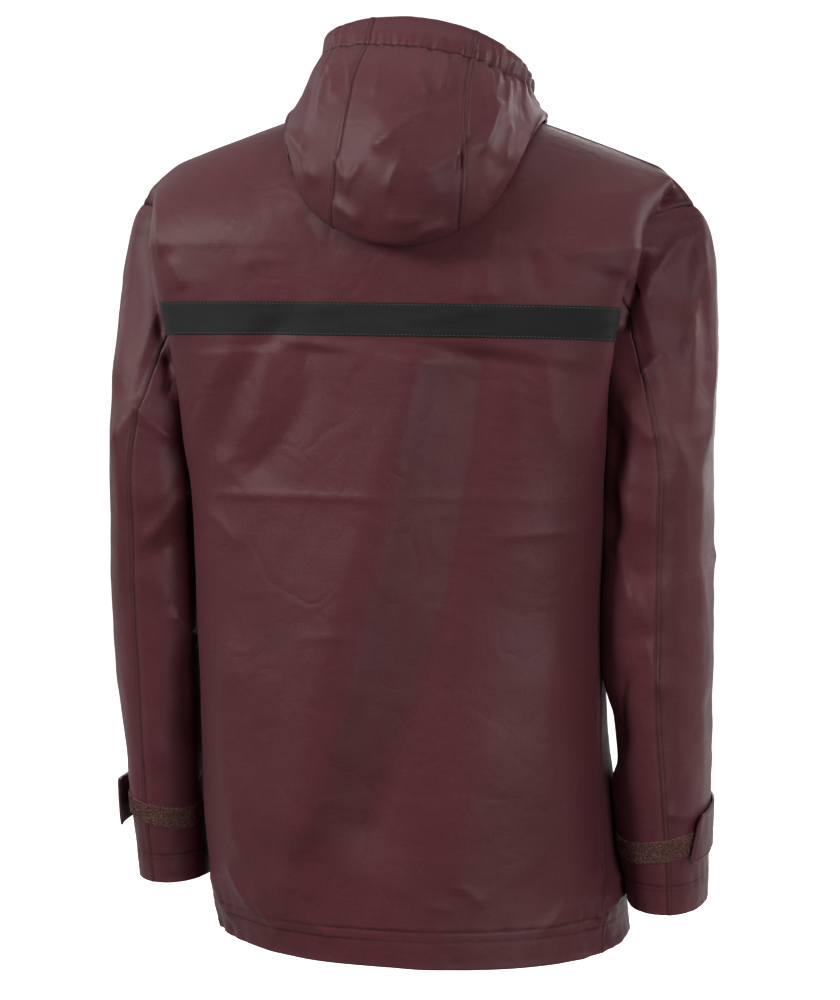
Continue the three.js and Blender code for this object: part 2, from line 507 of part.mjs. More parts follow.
// Where panels meet, every border point takes the mean normal of the body, sleeve and hood
// surfaces that meet there, so that the walls end side by side and not across each other.
const familyOf = (name) => (/^(sleeve|hood)/.exec(name) ?? ["body"])[0];
function shareSeamNormals(all) {
  const border = [];
  for (const [name, panel] of Object.entries(all)) {
    panel.normals = gridNormals(panel.grid);
    const [lastRow, lastColumn] = [panel.grid.length - 1, panel.grid[0].length - 1];
    panel.grid.forEach((row, i) =>
      row.forEach((p, j) => {
        const onBorder = i === 0 || j === 0 || i === lastRow || j === lastColumn;
        if (onBorder) border.push({ p, n: panel.normals[i][j], family: familyOf(name) });
      }),
    );
  }
  const means = border.map(({ p }) => {
    const sums = { body: V(0, 0, 0), sleeve: V(0, 0, 0), hood: V(0, 0, 0) };
    for (const other of border) if (p.distanceTo(other.p) < 0.5) sums[other.family].add(other.n);
    return Object.values(sums).reduce((sum, n) => sum.add(n.normalize()), V(0, 0, 0)).normalize();
  });
  border.forEach(({ n }, k) => n.copy(means[k]));
}
shareSeamNormals(panels);

const group = new THREE.Group();
function addMesh(name, geometry, colour, roughness, metalness = 0) {
  const material = new THREE.MeshStandardMaterial({ color: colour, roughness, metalness });
  const mesh = new THREE.Mesh(geometry, material);
  mesh.name = name;
  group.add(mesh);
  return mesh;
}
for (const [name, { grid, normals }] of Object.entries(panels)) {
  const apart = drawnIn(grid, SEAM_GAP / 2, SEAM_GAP / 2 + SET_GAP[familyOf(name)]);
  addMesh(name, wallGeometry(apart, normals, 0, CLOTH), COLOURS.shell, 0.5);
}

// A strip sewn on a panel: it repeats the panel's own points, so it lies flat on every face.
function layOn(name, grid, normals, lift, thickness, colour, roughness) {
  return addMesh(name, wallGeometry(grid, normals, lift + thickness, thickness), colour, roughness);
}
const cut = (grid, rows, columns) => grid.slice(rows[0], rows[1] + 1).map((row) => row.slice(columns[0], columns[1] + 1));

const bandRows = [BODY_ROWS.indexOf(BAND_BOTTOM_Z), BODY_ROWS.indexOf(BAND_TOP_Z)];
const bandColumns = [1, backColumns.length - 2];
layOn(
  "back_band",
  drawnIn(cut(backGrid, bandRows, bandColumns), SEAM_GAP),
  cut(panels.back.normals, bandRows, bandColumns),
  LAY_GAP,
  TRIM,
  COLOURS.band,
  0.6,
);

// The loop strip round a cuff and the tab that closes on it.
const loopRows = [LOOP_TOP_Z, LOOP_BOTTOM_Z].map((z) => CAP_STEPS + 1 + SLEEVE_ROWS.indexOf(z));
const rowAtHeight = (z) => {
  const heights = [SLEEVE[0].z, ...SLEEVE_ROWS];
  const i = heights.findIndex((h) => h < z) - 1;
  return CAP_STEPS + i + (heights[i] - z) / (heights[i] - heights[i + 1]);
};
function cuffTab(side) {
  const surface = sleeveSurface(side);
  const lengths = steps(14);
  const across = steps(4).map((v) => 2 * v - 1);
  const grid = across.map((v) =>
    lengths.map((u) => {
      const taper = 1 - (1 - TAB.point) * clamp01((u - 0.84) / 0.16);
      const column = (lerp(TAB.from, TAB.to, u) / 360) * SLEEVE_COLUMNS;
      return surface(column, rowAtHeight(TAB.z + (v * taper * TAB.height) / 2));
    }),
  );
  return side > 0 ? grid : grid.map((row) => [...row].reverse());
}
for (const [word, side] of [["left", 1], ["right", -1]]) {
  const whole = sleeveGrid(side, 0, SLEEVE_COLUMNS);
  const normals = gridNormals(whole);
  const columns = side > 0 ? LOOP_COLUMNS : LOOP_COLUMNS.map((c) => SLEEVE_COLUMNS - c).reverse();
  layOn(
    `loop_band_${word}`,
    cut(whole, loopRows, columns),
    cut(normals, loopRows, columns),
    LAY_GAP,
    TRIM,
    COLOURS.loop,
    0.95,
  );
  const flat = cuffTab(side);
  const out = gridNormals(flat);
  const last = flat[0].length - 1;
  const tab = flat.map((row, i) =>
    row.map((p, j) => {
      const u = side > 0 ? j / last : 1 - j / last;
      return p.clone().addScaledVector(out[i][j], TAB[word] * THREE.MathUtils.smoothstep(u, 0.25, 1));
    }),
  );
  layOn(`cuff_tab_${word}`, tab, gridNormals(tab), TAB.lift, TAB.thickness, COLOURS.shell, 0.5);
}

// The line where the two fronts and the two hood edges face each other, from the hem up.
const frontRows = [
  ...rowNumbers.map((i) => ({ left: [panels.front_left, i, 0, 1], right: [panels.front_right, i, -1, -2] })),
  ...hoodRows.slice(1).map((i) => ({ left: [panels.hood_left, i, 0, 1], right: [panels.hood_right, i, -1, -2] })),
];
const pick = ([panel, i, ...columns]) => columns.map((j) => [panel.grid[i].at(j), panel.normals[i].at(j)]);
const centreLine = frontRows.map(({ left, right }) => {
  const [[l], [r]] = [pick(left), pick(right)];
  return l[0].clone().lerp(r[0], 0.5);
});
const teethGrid = centreLine.map((p) => [-TEETH.half, 0, TEETH.half].map((x) => p.clone().add(V(x, 0, 0))));
const teethNormals = gridNormals(teethGrid);
layOn("zip_teeth", teethGrid, teethNormals, TEETH.out - TEETH.depth, TEETH.depth, COLOURS.zip, 0.6);
for (const [word, side] of [["left", 1], ["right", -1]]) {
  const rows = frontRows.map((row, k) => {
    const inner = [centreLine[k].clone().add(V(side * TAPE.from, 0, 0)), teethNormals[k][1]];
    const list = [inner, ...pick(row[word])];
    return side > 0 ? list : list.reverse();
  });
  const [grid, normals] = [0, 1].map((part) => rows.map((row) => row.map((pair) => pair[part])));
  layOn(`zip_tape_${word}`, grid, normals, -CLOTH - TAPE.behind - TAPE.thickness, TAPE.thickness, COLOURS.zip, 0.8);
}

// Hard pieces of the zip. An outline's second measure is height, and it is drawn out along y.
const wasm = await Module();
wasm.setup();
const { Manifold } = wasm;
const rounded = (half, low, high, radius) => {
  const corner = (x, z, from) =>
    steps(4).map((u) => [x + radius * Math.cos(rad(from + 90 * u)), z + radius * Math.sin(rad(from + 90 * u))]);
  return [
    ...corner(half - radius, high - radius, 0),
    ...corner(radius - half, high - radius, 90),
    ...corner(radius - half, low + radius, 180),
    ...corner(half - radius, low + radius, 270),
  ];
};
const drawnAlongY = (outline, depth) => Manifold.extrude([outline], depth).rotate([90, 0, 0]);
const drawnAlongX = (outline, width) => Manifold.extrude([outline], width, 0, 0, [1, 1], true).rotate([90, 0, 90]);
function solidGeometry(solid) {
  const { vertProperties, triVerts, numProp } = solid.getMesh();
  const positions = [];
  for (const v of triVerts) positions.push(...vertProperties.slice(v * numProp, v * numProp + 3));
  const geometry = new THREE.BufferGeometry();
  geometry.setAttribute("position", new THREE.Float32BufferAttribute(positions, 3));
  geometry.computeVertexNormals();
  return geometry;
}
const teethFront = Math.min(...centreLine.filter((p) => Math.abs(p.z - SLIDER.z) < SLIDER.height).map((p) => p.y)) - TEETH.out;
const sliderBack = teethFront - SLIDER.gap;
const sliderFront = sliderBack - SLIDER.depth;
const archOutline = [
  [0.2, -ARCH.half],
  [0.2, -ARCH.inside],
  [-ARCH.room, -ARCH.inside],
  [-ARCH.room, ARCH.inside],
  [0.2, ARCH.inside],
  [0.2, ARCH.half],
  [1 - ARCH.rise, ARCH.half],
  [-ARCH.rise, ARCH.half - 1],
  [-ARCH.rise, 1 - ARCH.half],
  [1 - ARCH.rise, -ARCH.half],
];
const slider = drawnAlongY(rounded(SLIDER.width / 2, -SLIDER.height / 2, SLIDER.height / 2, 2), SLIDER.depth)
  .translate([0, sliderBack, SLIDER.z])
  .add(drawnAlongX(archOutline, ARCH.width).translate([0, sliderFront, SLIDER.z]));
addMesh("zip_slider", solidGeometry(slider), COLOURS.metal, 0.35, 0.8);

const pullBlade = drawnAlongY(
  [
    [-PULL.width / 2, 0],
    [-PULL.tip / 2, -PULL.widest],
    ...rounded(PULL.tip / 2, -PULL.length, -PULL.widest, PULL.corner).slice(-10),
    [PULL.tip / 2, -PULL.widest],
    [PULL.width / 2, 0],
  ],
  2 * PULL.bar,
);
const pullWindow = Manifold.cube([2 * PULL.window, PULL.width, PULL.windowEnd]).translate([
  -PULL.window,
  -PULL.width / 2,
  -PULL.windowEnd,
]);
const pull = pullBlade
  .translate([0, PULL.bar, 0])
  .subtract(pullWindow)
  .add(Manifold.cylinder(PULL.width, PULL.bar, PULL.bar, 20, true).rotate([0, 90, 0]))
  .translate([0, sliderFront - PULL.barAt, SLIDER.z]);
addMesh("zip_pull", solidGeometry(pull), COLOURS.metal, 0.35, 0.8);

export default group;
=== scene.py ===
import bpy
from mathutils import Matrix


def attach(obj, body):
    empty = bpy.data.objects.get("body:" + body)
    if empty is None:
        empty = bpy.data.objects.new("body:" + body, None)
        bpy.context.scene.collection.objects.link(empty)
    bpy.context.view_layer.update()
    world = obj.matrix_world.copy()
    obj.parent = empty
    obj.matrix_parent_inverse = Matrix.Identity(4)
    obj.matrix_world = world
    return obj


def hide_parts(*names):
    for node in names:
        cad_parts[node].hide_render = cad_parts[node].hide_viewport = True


bl_info = {
    "name": "Hooded raincoat",
    "version": (1, 0, 0),
    "blender": (4, 5, 0),
    "location": "3D View > Sidebar > Raincoat",
    "description": "Builds a hooded coated-cloth raincoat round its packed solids",
    "category": "Object",
}

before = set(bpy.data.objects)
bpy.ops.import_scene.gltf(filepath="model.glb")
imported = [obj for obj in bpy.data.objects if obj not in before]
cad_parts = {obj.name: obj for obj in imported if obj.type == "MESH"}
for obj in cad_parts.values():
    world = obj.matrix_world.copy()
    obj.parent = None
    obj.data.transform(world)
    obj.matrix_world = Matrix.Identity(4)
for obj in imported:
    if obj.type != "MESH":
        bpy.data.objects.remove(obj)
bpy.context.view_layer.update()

import math

import bmesh
import bpy
import numpy as np
from bpy.props import FloatProperty, FloatVectorProperty, PointerProperty
from mathutils import Matrix, Vector

# Sizes here are millimetres, as on the cutting table, and pieces are made in metres.
MM = 0.001
BODY = "jacket"

# The picture's frame: where the camera stands, what it looks at and its scale.
PICTURE = (840, 1000)
TARGET = np.array([-7.4, -1.7, -357.0])
TURN, LIFT, DISTANCE, FOCAL = 13.0, 7.3, 2400.0, 2520.0

# The body's rings: z, half width, depth behind and before the centre, centre, sway, squareness,
# how far the arm presses the side in, and how far the front corner flares.
TORSO = [
    (-770, 200, 145, 138, 0, -9, 2.1, 0, 10),
    (-700, 198, 142, 138, 1, 0, 2.15, 0, 12),
    (-620, 194, 138, 137, 4, 4, 2.2, 0, 9),
    (-530, 193, 132, 136, 8, 7, 2.25, 0, 1),
    (-440, 196, 121, 138, 14, 9, 2.3, 2, 0),
    (-350, 200, 101, 150, 30, 6, 2.4, 7, 0),
    (-262, 207, 80, 170, 50, 4, 2.5, 17, 0),
    (-190, 217, 64, 180, 66, 5, 2.6, 44, 0),
    (-150, 225, 58, 184, 72, 5, 2.6, 56, 0),
    (-115, 232, 54, 184, 74, 4, 2.5, 48, 0),
]
# Where the side edges lie, as angles from the centre back: z, back panel, front panel.
SIDE_EDGE = [
    (-770, 70, 70),
    (-700, 76, 76),
    (-620, 83, 83),
    (-530, 88, 88),
    (-440, 91, 91),
    (-350, 95, 95),
    (-300, 99, 99),
    (-262, 103, 103),
    (-225, 102, 118),
    (-190, 101, 124),
    (-150, 99, 126),
    (-115, 97, 122),
]
ARM_ROWS = [-262, -240, -216, -193, -163, -146, -130, -115]
HEM_Z, UNDERARM_Z, YOKE_Z = -770, -262, -115
BAND_TOP_Z, BAND_BOTTOM_Z, BAND_DIP = -163, -193, 8
DOME_STEPS, DOME_SPAN, DOME_POWER = 4, 120, 1.25
DOME_TOP = YOKE_Z + DOME_SPAN
NECK_HALF_WIDTH, NECK_BACK_Y, NECK_FRONT_Y = 88, 62, -95
NECK_POINT_Z, NECK_FRONT_Z = 8, -62
SHOULDER_TIP_X, SHOULDER_FALL, SHOULDER_DROP = 265, 64, 22
PINCH_Y, PINCH_SPREAD, ZIP_HALF = 8, 48, 5
BACK_NECK_SHARE, FRONT_NECK_SHARE = 0.27, 0.28

# Sleeve rings: z, centre on the left and on the right, y, half width, half depth, square, skew.
SLEEVE = [
    (-330, 249, 238, -14, 43, 84, 2.7, 4),
    (-450, 252, 237, -18, 44, 80, 2.8, 6),
    (-540, 251, 238, -21, 43, 77, 2.7, 6),
    (-600, 250, 242, -22, 41, 74, 2.4, 4),
    (-660, 248, 245, -23, 39, 70, 2.3, 2),
    (-700, 245, 246, -24, 38, 67, 2.2, 0),
    (-733, 243, 247, -25, 37, 65, 2.2, 0),
]
SLEEVE_TOP_Z, CUFF_Z = -330, -735
LOOP_ROWS = {1: (-679, -658), -1: (-686, -665)}
ARM_SEGMENTS = len(ARM_ROWS) - 1 + DOME_STEPS
TURN_COLUMNS = 2 * ARM_SEGMENTS
BACK_SEAM, FRONT_SEAM = 6 / TURN_COLUMNS, 16 / TURN_COLUMNS

# Hood rings: row, side, back and front y, back, side and front z, shift, swing, tilt, clearance.
HOOD = [
    (0, 88, 62, -95, 0, 8, -62, 0, 0, 0, 0),
    (2, 92, 76, -98, 12, 21, -50, -1, 0, 0, 4),
    (4, 101, 122, -101, -36, 14, -42, -5, -4, 0, 4),
    (6, 110, 139, -103, -92, 1, -34, -9, -8, 0, 4),
    (7, 116, 148, -104, -110, -3, -30, -11, -9, 0, 5),
    (8, 120, 160, -105, -105, 0, -26, -8, -13, 1, 9),
    (10, 119, 170, -107, -60, 8, -18, -10, -18, 4, 12),
    (12, 111, 162, -108, -10, 19, -8, -13, -18, 8, 14),
    (14, 103, 134, -108, 37, 32, 2, -16, -15, 12, 14),
    (15.5, 98, 104, -107, 64, 43, 9, -18, -14, 13, 14),
    (17, 96, 82, -106, 89, 53, 17, -19, -13, 13, 14),
]
HOOD_CENTRE_Y, HOOD_SEAM_ANGLE, CASING_ROW, HOOD_TOP_ROW = 12, 28.125, 15.5, 17

# Folds are rows of: points along the crest, height, width to each side, roundness, and the
# shares of the length over which each end fades. These follow the solids' own large folds, in
# x and z on the body, in degrees and z on a sleeve, and in degrees and rows times 7 on the hood.
BACK_FOLDS = [
    (((-58, -165), (96, -772)), -22, 9, 70, 40, 12, 0.25, 0.12),
    (((-92, -150), (20, -770)), -26, -6, 34, 48, 16, 0.2, 0.2),
    (((62, -150), (168, -352)), -20, -6, 30, 16, 8, 0.3, 0.3),
    (((110, -165), (200, -345)), -12, 5, 26, 22, 10, 0.3, 0.35),
    (((-150, -260), (-120, -740)), 14, 4, 50, 44, 18, 0.3, 0.3),
]
FRONT_FOLDS = [
    (((70, -150), (150, -520)), 16, 6, 40, 34, 14, 0.3, 0.3),
    (((60, -420), (110, -765)), -14, 5, 40, 30, 14, 0.3, 0.1),
]
SLEEVE_FOLDS = [
    (((60, -190), (150, -330)), 8, 5, 18, 14, 6, 0.3, 0.3),
    (((20, -380), (100, -430)), -8, -6, 20, 20, 8, 0.3, 0.3),
    (((30, -300), (110, -370)), 8, 5, 18, 20, 8, 0.3, 0.3),
    (((150, -150), (168, -640)), 6, 5, 22, 16, 8, 0.2, 0.2),
]
HOOD_FOLDS = [
    (((-30, 63), (22, 93.8)), 2, 3, 6, 9, 3, 0.3, 0.3),
    (((-24, 53.2), (-64, 77)), -3, 4, 7, 8, 3, 0.3, 0.3),
    (((44, 63), (66, 101.5)), 4, -5, 9, 9, 3, 0.3, 0.3),
    (((-66, 63), (-74, 101.5)), 3, -4, 8, 7, 3, 0.3, 0.3),
]
# Creases are placed in the picture's own points, listed from the top down, with no bow.
BACK_CREASES = [
    (((421, 345), (402, 480), (373, 609), (338, 737), (295, 870)), 0, 4.6, 60, 22, 8, 0.03, 0.1),
    (((486, 345), (466, 480), (441, 609), (402, 737), (352, 880)), 0, -4.8, 22, 50, 8, 0.03, 0.1),
    (((262, 345), (262, 400), (235, 450), (205, 485)), 0, 1.8, 30, 18, 5, 0.03, 0.2),
    (((308, 345), (302, 400), (280, 440), (240, 485)), 0, -2.4, 18, 26, 5, 0.03, 0.2),
    (((205, 493), (300, 496), (400, 498)), 0, 0.9, 3, 5, 1.5, 0.1, 0.2),
    (((400, 498), (500, 501), (590, 500)), 0, 0.35, 3, 4, 1.5, 0.1, 0.3),
    (((480, 540), (540, 534), (590, 532)), 0, 0.8, 4, 6, 2, 0.3, 0.2),
    (((205, 505), (225, 525), (245, 550)), 0, 1.2, 6, 8, 3, 0.3, 0.3),
    (((238, 600), (228, 700), (236, 800), (250, 880)), 0, 3.0, 14, 20, 8, 0.3, 0.2),
    (((290, 642), (330, 636), (370, 640)), 0, 0.5, 4, 6, 2, 0.3, 0.3),
    (((545, 350), (556, 420), (575, 480)), 0, 1.6, 14, 16, 6, 0.2, 0.4),
    (((500, 345), (512, 400), (520, 480)), 0, 1.0, 12, 14, 6, 0.2, 0.4),
    (((470, 258), (474, 300)), 0, 1.2, 5, 8, 3, 0.3, 0.1),
    (((484, 256), (490, 300)), 0, 0.9, 4, 7, 3, 0.3, 0.1),
    (((445, 885), (470, 893), (485, 912)), 0, 1.0, 5, 7, 2, 0.3, 0.3),
    (((425, 905), (452, 912)), 0, 0.8, 5, 6, 2, 0.3, 0.3),
    (((560, 600), (548, 700), (556, 820), (570, 900)), 0, 1.8, 20, 18, 9, 0.3, 0.3),
    (((500, 700), (470, 800), (455, 900)), 0, 1.4, 20, 24, 9, 0.3, 0.2),
]
YOKE_CREASES = [
    (((232, 122), (196, 146), (166, 178)), 0, 1.6, 6, 9, 3, 0.3, 0.3),
    (((168, 255), (176, 272), (184, 292)), 0, 1.6, 5, 7, 2, 0.3, 0.3),
    (((660, 186), (622, 196), (575, 190)), 0, 1.5, 8, 12, 4, 0.3, 0.4),
    (((672, 180), (655, 196), (645, 222), (636, 250), (626, 282)), 0, 5.0, 14, 3, 1.0, 0.05, 0.1),
    (((678, 190), (664, 206), (653, 226), (643, 254), (634, 280)), 0, -6.5, 4, 6, 1.2, 0.1, 0.05),
    (((156, 184), (158, 220), (160, 262)), 0, 2.2, 4, 9, 1.5, 0.1, 0.3),
    (((300, 205), (318, 236), (352, 256)), 0, -1.6, 14, 12, 4, 0.2, 0.3),
    (((528, 250), (536, 275), (540, 300)), 0, -1.4, 8, 8, 3, 0.2, 0.2),
    (((560, 262), (590, 250), (622, 258)), 0, 1.0, 8, 8, 3, 0.3, 0.3),
    (((230, 270), (262, 258), (300, 262)), 0, 1.0, 8, 10, 3, 0.3, 0.3),
]
SLEEVE_CREASES = {
    1: [
        (((133, 398), (152, 425), (178, 442)), 0, 2.6, 5, 8, 2.5, 0.2, 0.2),
        (((140, 548), (165, 518), (186, 478)), 0, 2.6, 6, 6, 2.5, 0.2, 0.3),
        (((165, 350), (170, 376), (166, 402)), 0, -4.0, 7, 7, 3, 0.3, 0.3),
        (((172, 610), (182, 625), (193, 636)), 0, 2.0, 5, 6, 2.5, 0.2, 0.2),
        (((188, 640), (190, 700), (192, 765)), 0, -4.0, 7, 7, 3, 0.3, 0.3),
        (((126, 250), (123, 400), (122, 620)), 0, 2.0, 6, 6, 3, 0.2, 0.2),
        (((146, 700), (152, 745), (158, 780)), 0, 1.4, 8, 8, 4, 0.3, 0.3),
    ],
    -1: [
        (((697, 215), (705, 300), (704, 400), (698, 480)), 0, 2.6, 7, 7, 3, 0.2, 0.2),
        (((686, 300), (689, 360), (684, 430)), 0, 1.6, 6, 8, 3, 0.3, 0.3),
        (((622, 395), (638, 421), (657, 446)), 0, 2.8, 6, 7, 2.5, 0.2, 0.2),
        (((638, 378), (648, 368), (660, 352)), 0, 2.4, 5, 5, 2, 0.3, 0.2),
        (((618, 400), (613, 480), (612, 560)), 0, -5.0, 9, 9, 4, 0.3, 0.3),
        (((606, 520), (632, 592), (650, 640)), 0, 2.4, 9, 7, 3, 0.3, 0.3),
        (((640, 632), (652, 665), (662, 702)), 0, 2.0, 8, 6, 3, 0.3, 0.3),
        (((628, 660), (618, 712), (622, 770)), 0, -4.0, 9, 9, 4, 0.3, 0.3),
        (((694, 560), (704, 640), (700, 720)), 0, 1.6, 6, 6, 3, 0.3, 0.3),
        (((664, 812), (682, 818), (700, 814)), 0, 1.6, 4, 5, 2, 0.3, 0.3),
    ],
}
CAP_CREASES = {
    1: [
        (((150, 212), (158, 240), (160, 280)), 0, -2.0, 5, 5, 2, 0.2, 0.3),
        (((142, 210), (134, 250), (130, 320), (128, 420)), 0, 2.0, 5, 8, 1.5, 0.1, 0.3),
        (((152, 225), (151, 260), (156, 310), (166, 356)), 0, -3.0, 5, 5, 1.5, 0.1, 0.2),
    ],
    -1: [
        (((692, 210), (700, 232), (694, 283), (684, 350), (682, 400)), 0, 3.8, 6, 9, 0.8, 0.05, 0.3),
        (((688, 230), (668, 253), (652, 282)), 0, 2.6, 4, 6, 0.8, 0.1, 0.3),
        (((643, 250), (637, 275), (626, 300), (619, 335)), 0, -6.5, 9, 9, 3, 0.08, 0.1),
        (((641, 246), (648, 264), (649, 284), (643, 298)), 0, 1.8, 3, 4, 1, 0.1, 0.2),
        (((706, 250), (708, 330), (704, 420)), 0, 1.6, 5, 5, 1.5, 0.2, 0.3),
    ],
}
# These are in millimetres round the sleeve and z, on the sides that the picture doesn't show.
UNDER_CREASES = [
    (((150, -210), (185, -250), (215, -262)), 0, 3.0, 9, 7, 3, 0.3, 0.3),
    (((130, -395), (170, -420), (212, -408)), 0, 2.8, 7, 9, 3, 0.3, 0.3),
    (((128, -440), (165, -432), (205, -450)), 0, -2.4, 8, 8, 3, 0.3, 0.3),
    (((140, -500), (172, -530), (190, -580)), 0, 2.4, 9, 8, 3, 0.3, 0.3),
    (((214, -330), (206, -400), (216, -480)), 0, 2.2, 9, 9, 4, 0.3, 0.3),
    (((150, -590), (158, -620), (170, -645)), 0, 1.8, 7, 8, 3, 0.3, 0.3),
]
FRONT_CREASES = {
    1: [
        (((40, -140), (52, -260), (74, -380)), 0, 2.0, 14, 18, 6, 0.3, 0.4),
        (((180, -290), (150, -330), (110, -350)), 0, 3.0, 12, 16, 5, 0.3, 0.4),
        (((174, -330), (140, -392), (92, -420)), 0, -2.4, 12, 12, 5, 0.3, 0.4),
        (((20, -500), (90, -504), (170, -498)), 0, 0.8, 3, 5, 1.5, 0.2, 0.2),
        (((176, -560), (164, -660), (172, -740)), 0, 2.6, 16, 14, 7, 0.3, 0.2),
        (((34, -600), (40, -690), (30, -750)), 0, 1.8, 14, 12, 6, 0.3, 0.3),
    ],
    -1: [
        (((-36, -150), (-60, -250), (-62, -400)), 0, 2.2, 16, 14, 6, 0.3, 0.4),
        (((-184, -300), (-140, -338), (-96, -340)), 0, 2.8, 14, 14, 5, 0.3, 0.4),
        (((-170, -360), (-128, -400), (-100, -450)), 0, -2.6, 12, 14, 5, 0.3, 0.4),
        (((-20, -498), (-100, -502), (-176, -500)), 0, 0.9, 5, 3, 1.5, 0.2, 0.2),
        (((-168, -540), (-158, -640), (-170, -745)), 0, 2.4, 14, 16, 7, 0.3, 0.2),
        (((-60, -580), (-44, -670), (-56, -752)), 0, 1.9, 16, 12, 6, 0.3, 0.3),
    ],
}
HOOD_CREASES = [
    (((432, 108), (404, 126), (368, 152)), 0, 1.8, 5, 8, 2, 0.2, 0.2),
    (((446, 50), (442, 78), (440, 102)), 0, 1.6, 4, 6, 2, 0.3, 0.3),
    (((402, 160), (392, 178), (387, 198)), 0, 1.3, 4, 6, 2, 0.3, 0.3),
    (((334, 150), (340, 166), (346, 186)), 0, 1.6, 4, 5, 1.5, 0.3, 0.3),
    (((330, 198), (346, 212), (366, 226)), 0, 1.8, 5, 6, 2, 0.3, 0.3),
    (((414, 236), (432, 229), (452, 224)), 0, 1.6, 4, 6, 2, 0.3, 0.3),
    (((474, 130), (462, 152), (456, 176)), 0, -1.8, 4, 5, 2, 0.3, 0.3),
    (((500, 96), (490, 128), (476, 160)), 0, 2.4, 6, 8, 2.5, 0.2, 0.3),
    (((516, 118), (508, 140), (500, 170)), 0, 1.6, 5, 6, 2, 0.3, 0.3),
    (((486, 64), (490, 84), (486, 110)), 0, 2.0, 4, 5, 2, 0.2, 0.3),
    (((330, 70), (322, 90), (318, 120)), 0, 1.8, 5, 6, 2, 0.2, 0.3),
    (((300, 128), (304, 158), (318, 190)), 0, 1.8, 7, 7, 3, 0.3, 0.3),
    (((372, 100), (380, 70), (378, 44)), 0, 1.0, 5, 6, 2, 0.3, 0.3),
    (((410, 64), (424, 84), (430, 104)), 0, 1.4, 4, 5, 2, 0.3, 0.3),
    (((384, 215), (402, 222), (424, 216)), 0, 1.0, 5, 6, 2, 0.3, 0.3),
    (((486, 135), (450, 158), (409, 176)), 0, 1.2, 4, 7, 1, 0.2, 0.3),
    (((364, 161), (352, 178), (344, 195)), 0, 1.2, 4, 5, 1, 0.2, 0.2),
    (((286, 129), (298, 147), (312, 161)), 0, 1.2, 4, 6, 1, 0.2, 0.3),
    (((447, 58), (446, 78), (444, 97)), 0, 1.0, 3, 5, 1, 0.1, 0.3),
    (((497, 70), (494, 95), (484, 125)), 0, 1.4, 3, 5, 1, 0.1, 0.3),
    (((508, 78), (507, 100), (500, 128)), 0, 1.2, 3, 5, 1, 0.1, 0.3),
    (((328, 62), (334, 82), (330, 105)), 0, 1.2, 3, 5, 1, 0.1, 0.3),
    (((345, 52), (350, 72), (348, 95)), 0, 1.0, 3, 5, 1, 0.1, 0.3),
]
# These are in degrees and rows times 7, on the bag's inner side and by the hood's front edges.
HOOD_INNER_CREASES = [
    (((-120, 84), (-104, 92), (-92, 104)), 0, 2.2, 6, 6, 2.5, 0.3, 0.3),
    (((118, 82), (104, 94), (88, 102)), 0, 2.2, 6, 6, 2.5, 0.3, 0.3),
    (((-40, 22), (-20, 34), (4, 30)), 0, 2.0, 6, 6, 2.5, 0.3, 0.3),
    (((30, 18), (44, 32), (66, 36)), 0, 2.0, 6, 6, 2.5, 0.3, 0.3),
    (((-100, 20), (-84, 34), (-70, 38)), 0, -2.0, 6, 6, 2.5, 0.3, 0.3),
    (((150, 60), (140, 84), (146, 108)), 0, 1.8, 6, 6, 2.5, 0.3, 0.3),
    (((-150, 58), (-138, 80), (-142, 106)), 0, 1.8, 6, 6, 2.5, 0.3, 0.3),
]
# How far the right sleeve's inner side leans to the body: z and millimetres.
INNER_BULGE = [
    (-760, 0),
    (-725, 4),
    (-690, 8),
    (-620, 9),
    (-592, -1),
    (-552, -2),
    (-515, 8),
    (-440, 9),
    (-330, 9),
    (-240, 7),
    (-160, 0),
]
HEM_WIDTH, HEM_ROWS = 36, (25, 34.5)
CUFF_WIDTH, CUFF_ROWS = 29, (22.5, 27.5)
SEAM_ROWS, SEAM_WIDTH, SEAM_HEIGHT = (1.6, 5.2), 6.0, 1.1
STITCH_LIFT, STITCH_WIDTH, STITCH_HEIGHT = 0.12, 0.5, 0.36
CASING_STITCH = (3.2, 2.4)
# Soft creases that run up from the hem at both sides of the back.
HEM_CREASES = [
    (((628, 846), (616, 876), (598, 908)), 0, 3.0, 4, 6, 1.5, 0.2, 0.3),
    (((626, 880), (612, 905), (592, 934)), 0, 2.6, 4, 5, 1.5, 0.2, 0.2),
    (((608, 860), (594, 892), (576, 918)), 0, 2.0, 5, 6, 2, 0.3, 0.3),
    (((572, 896), (556, 918), (536, 936)), 0, 1.6, 5, 6, 2, 0.3, 0.3),
    (((214, 866), (222, 896), (236, 928)), 0, 2.8, 5, 4, 1.5, 0.2, 0.3),
    (((228, 848), (242, 886), (262, 920)), 0, 2.4, 5, 5, 1.5, 0.3, 0.3),
    (((252, 884), (266, 912), (286, 938)), 0, 2.0, 5, 5, 1.5, 0.3, 0.2),
    (((300, 905), (316, 925), (340, 944)), 0, 1.4, 5, 6, 2, 0.3, 0.3),
]
# How hard each table of creases is pressed in, and how sharp all crests are.
PRESSED = {"back": 2.0, "yoke": 1.5, "hem": 1.5, "sleeve": 2.0, "cap": 1.8, "hood": 2.3}
CREST_SHARPNESS = 0.55
